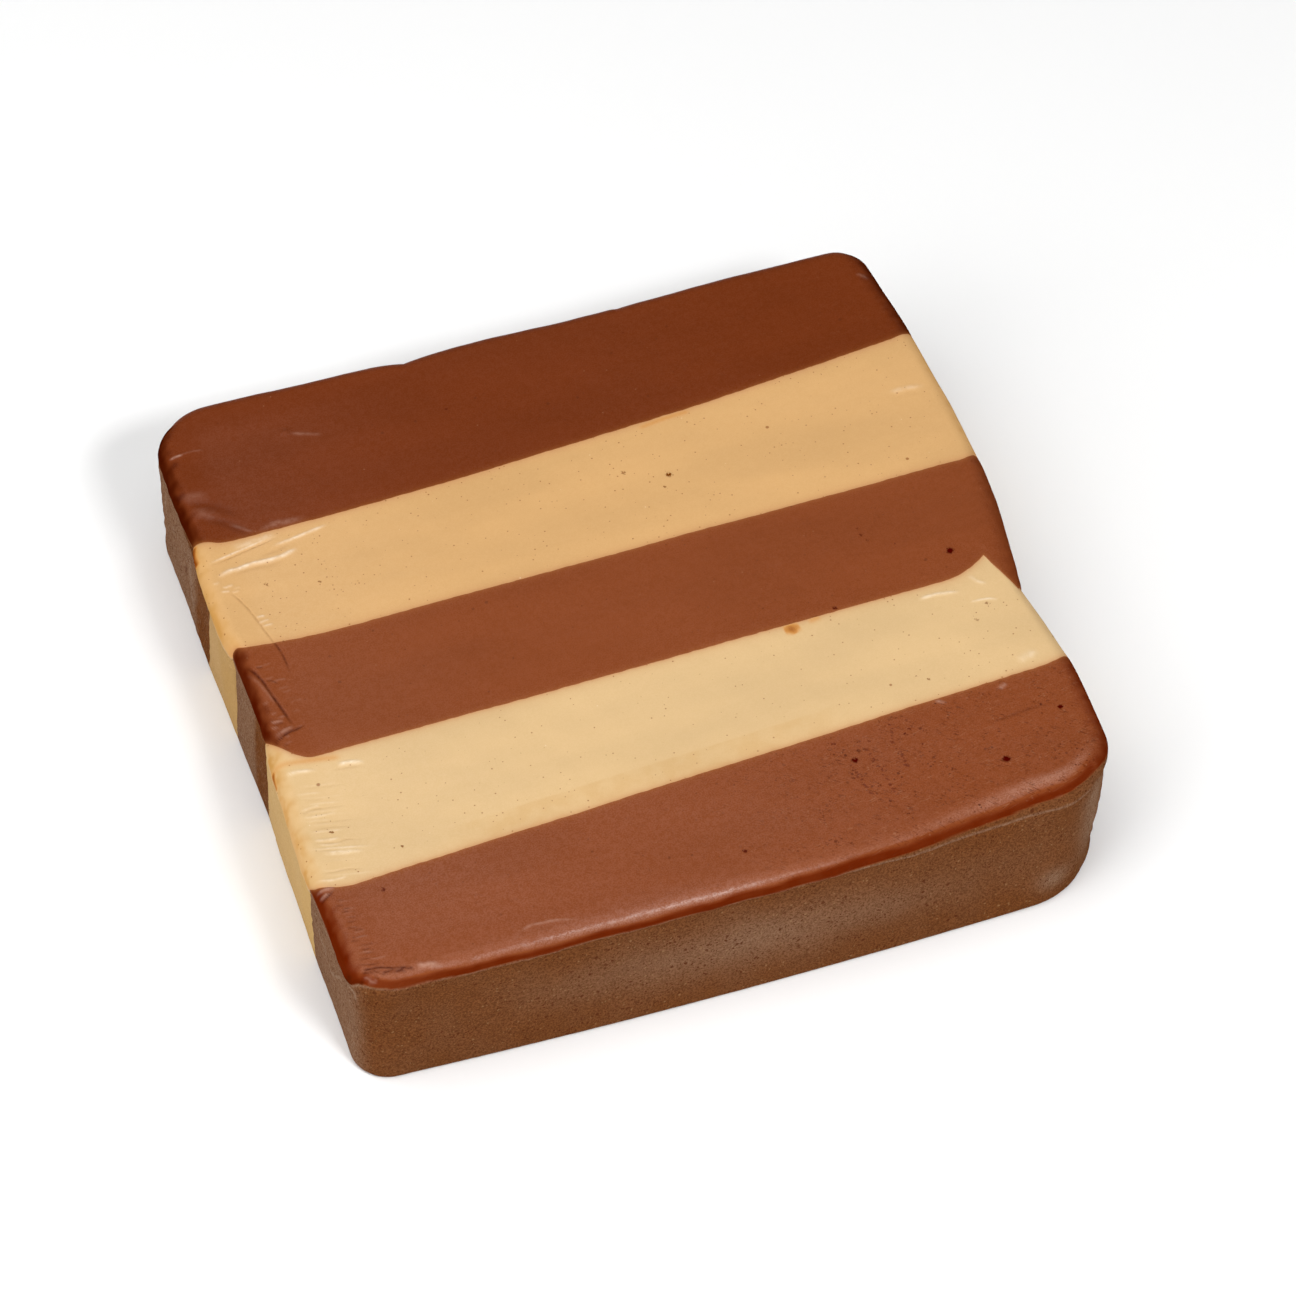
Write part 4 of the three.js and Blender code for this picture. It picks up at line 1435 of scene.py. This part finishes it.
def topColour(tree, looks, masks, seen):
    tone, scratch, pore = seen["grain"]["Tone"], seen["scratch"], seen["pores"]
    deeper = tuple(value * finish["streakTone"] for value in looks["top"])
    colour = mixColour(tree, seen["streaks"], looks["top"], deeper)
    colour = mixColour(tree, 1.0, colour, spanNode(tree, tone, looks["tone"]), "MULTIPLY")
    patches = times(tree, masks["scuff"], spanNode(tree, seen["blotches"], finish["scuffPatches"]))
    flakes = times(tree, highest(tree, pore["Grit"], scratch["Pale"]), patches)
    specks = highest(tree, seen["speck"], seen["coarse"])
    smeared = mathNode(tree, "POWER", masks["stain"], finish["smearPower"])
    sheen = times(tree, masks["sheen"], seen["breaks"])
    # the deep shoulder colour is partly painted shade, the haze is painted sheen, the nicks are partly
    # painted shade in small pits and the sheen is a painted highlight
    return paintOver(tree, colour, [
        (times(tree, masks["edge"], spanNode(tree, seen["blotches"], looks["blotch"])), looks["edge"]),
        (times(tree, masks["haze"], spanNode(tree, tone, finish["hazeGrain"])), looks["sheen"]),
        (times(tree, highest(tree, pore["Mask"], scratch["Dark"]), patches), looks["crease"]),
        (times(tree, flakes, finish["flakeMost"]), looks["glint"]),
        (times(tree, masks["halo"], finish["haloMost"]), looks["seam"]),
        (times(tree, specks, looks["speckMost"]), looks["speck"]),
        (times(tree, seen["glint"], finish["glintMost"]), looks["glint"]),
        (rangeNode(tree, masks["stain"], 0, finish["stainFull"]),
         mixColour(tree, smeared, looks["stain"], looks["smear"])),
        (times(tree, sheen, looks["sheenMost"]), looks["sheen"]),
    ])


def wallColour(tree, looks, masks, seen):
    pore, scratch = seen["pores"], seen["scratch"]
    tone = spanNode(tree, pore["Tone"], looks["wallTone"])
    colour = mixColour(tree, 1.0, looks["wall"], tone, "MULTIPLY")
    bloomAndSheen = mathNode(tree, "MULTIPLY_ADD", seen["clouds"], finish["wallClouds"], masks["bloomAndSheen"])
    bloomAndSheen = times(tree, bloomAndSheen, spanNode(tree, pore["Tone"], finish["bloomAndSheenGrain"]))
    bloomAndSheen = mathNode(tree, "MULTIPLY_ADD", scratch["Pale"], masks["scuff"], bloomAndSheen)
    # the pores are painted dark: painted shade, as they have no relief of their own
    openings = times(tree, pore["Mask"], looks["poreMost"])
    return paintOver(tree, colour, [
        (times(tree, pore["Grit"], looks["poreMost"] * finish["gritPart"]), looks["grit"]),
        (addNode(tree, "Clamp", {"Value": bloomAndSheen}).outputs[0], looks["bloomAndSheen"]),
        (highest(tree, openings, times(tree, scratch["Dark"], masks["scuff"])), looks["speck"]),
    ])


def nougatMaterial(layer):
    looks = layer["looks"]
    material = bpy.data.materials.new(layer["name"] + "_paste")
    material.use_nodes = True
    tree = material.node_tree
    shader = tree.nodes["Principled BSDF"]
    coordinates = addNode(tree, "TexCoord").outputs["Object"]
    place = vectorNode(tree, "SCALE", {0: coordinates, "Scale": 1 / mm})
    masks = {name: attribute(tree, name + "Share") for name in maskNames}
    seen = pastePatterns(tree, place, layer)

    top, bare = (make(tree, looks, masks, seen) for make in (topColour, wallColour))
    crease = times(tree, masks["crease"], seen["breaks"])
    # over the top and the bare wall: painted shade in the creases, the hole rims, the holes and the pits
    colour = paintOver(tree, top, [
        (masks["wall"], bare),
        (times(tree, crease, looks["creaseMost"]), looks["crease"]),
        (times(tree, seen["holeRim"], finish["holeRim"]), looks["crease"]),
        (highest(tree, seen["hole"], seen["pit"]), looks["hole"]),
    ])
    tree.links.new(colour, shader.inputs["Base Color"])

    rough = spanNode(tree, masks["wall"], (finish["topRoughness"], finish["wallRoughness"]))
    tree.links.new(rough, shader.inputs["Roughness"])
    shader.inputs["Specular IOR Level"].default_value = 0.0  # only the film's gloss reflects
    shader.inputs["Coat Roughness"].default_value = finish["coatRoughness"]
    coat = times(tree, masks["gloss"], spanNode(tree, seen["grain"]["Tone"], finish["coatGrain"]))
    coat = times(tree, times(tree, coat, looks["gloss"]), mathNode(tree, "SUBTRACT", 1.0, seen["hole"]))
    tree.links.new(coat, shader.inputs["Coat Weight"])

    topHeight = times(tree, seen["grain"]["Height"], looks["grain"])
    wallHeight = times(tree, seen["pores"]["Height"], finish["wallBump"])
    height = addNode(tree, "Mix", {0: masks["wall"], 2: topHeight, 3: wallHeight}).outputs[0]
    bump = addNode(tree, "Bump", {"Height": height, "Distance": mm, "Strength": 1.0})
    tree.links.new(bump.outputs[0], shader.inputs["Normal"])
    return material


# The five layers

for makeGroup in (speckGroup, mottleGroup, poreGroup, grainGroup, scratchGroup, holeGroup):
    makeGroup()
triangleCount = 0
for number, layer in enumerate(layers):
    points, quads, triangles, masks = layerSkin(number)
    mesh = meshFrom(layer["name"], points, quads, triangles, masks)
    piece = bpy.data.objects.new(layer["name"] + "_skin", mesh)
    bpy.context.scene.collection.objects.link(piece)
    mesh.materials.append(nougatMaterial(layer))
    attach(piece, "root")
    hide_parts(layer["name"])
    count = 2 * len(quads) + len(triangles)
    triangleCount += count
    print("layer", layer["name"], count, "triangles")
print("block", triangleCount, "triangles in all")


# Floor, light and camera

studio = {
    "floorSize": 6.0,  # metres
    "floorColour": (0.95, 0.95, 0.947),
    "floorTone": 1.02,  # its noise changes the colour up to this
    "floorNoise": {"Scale": 40.0, "Detail": 3.0},
    "floorRoughness": 0.9,
    "horizon": (0.45, 0.45, 0.45),  # the room's own light, low down and overhead
    "zenith": (0.06, 0.06, 0.06),
    "horizonHeight": (0.1, 0.5),  # it fades between these heights, as shares of the way up
    "lights": [  # place and aim, width and depth in metres, and watts
        {"name": "key", "at": (0.16, -0.5, 0.58), "aim": (0, -0.03, 0), "size": (0.2, 0.12), "power": 3.2},
        {"name": "overhead", "at": (-0.22, 0.0, 0.75), "aim": (0, 0, 0), "size": (0.9, 0.9), "power": 5.0},
        {"name": "left", "at": (-0.7, -0.25, 0.4), "aim": (0, 0, 0), "size": (0.6, 0.5), "power": 2.4},
    ],
}


def makeFloor():
    half = studio["floorSize"] / 2
    mesh = bpy.data.meshes.new("floor")
    corners = [(-half, -half, 0), (half, -half, 0), (half, half, 0), (-half, half, 0)]
    mesh.from_pydata(corners, [], [(0, 1, 2, 3)])
    floor = bpy.data.objects.new("floor", mesh)
    bpy.context.scene.collection.objects.link(floor)
    material = bpy.data.materials.new("floor_paint")
    material.use_nodes = True
    tree = material.node_tree
    shader = tree.nodes["Principled BSDF"]
    noise = addNode(tree, "TexNoise", studio["floorNoise"]).outputs[0]
    paler = tuple(value * studio["floorTone"] for value in studio["floorColour"])
    colour = mixColour(tree, noise, studio["floorColour"], paler)
    tree.links.new(colour, shader.inputs["Base Color"])
    shader.inputs["Roughness"].default_value = studio["floorRoughness"]
    mesh.materials.append(material)


def makeLights():
    world = bpy.data.worlds.new("studio")
    world.use_nodes = True
    tree = world.node_tree
    direction = addNode(tree, "TexCoord").outputs["Generated"]
    upward = addNode(tree, "SeparateXYZ", {0: direction}).outputs["Z"]
    height = rangeNode(tree, upward, *studio["horizonHeight"])
    sky = mixColour(tree, height, studio["horizon"], studio["zenith"])
    tree.links.new(sky, tree.nodes["Background"].inputs["Color"])
    bpy.context.scene.world = world
    for values in studio["lights"]:
        light = bpy.data.lights.new(values["name"], "AREA")
        light.shape = "RECTANGLE"
        light.size, light.size_y = values["size"]
        light.energy = values["power"]
        lamp = bpy.data.objects.new(values["name"], light)
        lamp.location = values["at"]
        away = Vector(values["aim"]) - Vector(values["at"])
        lamp.rotation_euler = away.to_track_quat("-Z", "Y").to_euler()
        bpy.context.scene.collection.objects.link(lamp)


viewpoint = {  # degrees and millimetres
    "azimuth": -18.5593,
    "elevation": 49.5356,
    "distance": 618.35,
    "aim": (4.6818, 6.2016, 0),
    "lens": 136.69,
    "sensor": 36,
    "clip": (0.01, 50),  # metres
}


def makeCamera():
    turn, rise = math.radians(viewpoint["azimuth"]), math.radians(viewpoint["elevation"])
    back = Vector((math.sin(turn) * math.cos(rise), -math.cos(turn) * math.cos(rise), math.sin(rise)))
    data = bpy.data.cameras.new("camera")
    data.sensor_width = viewpoint["sensor"]
    data.lens = viewpoint["lens"]
    data.clip_start, data.clip_end = viewpoint["clip"]
    camera = bpy.data.objects.new("camera", data)
    camera.location = (Vector(viewpoint["aim"]) + back * viewpoint["distance"]) * mm
    camera.rotation_euler = (-back).to_track_quat("-Z", "Y").to_euler()
    bpy.context.scene.collection.objects.link(camera)
    bpy.context.scene.camera = camera


makeFloor()
makeLights()
makeCamera()
bpy.context.scene.view_settings.view_transform = "Standard"
print("floor, lights and camera in place")
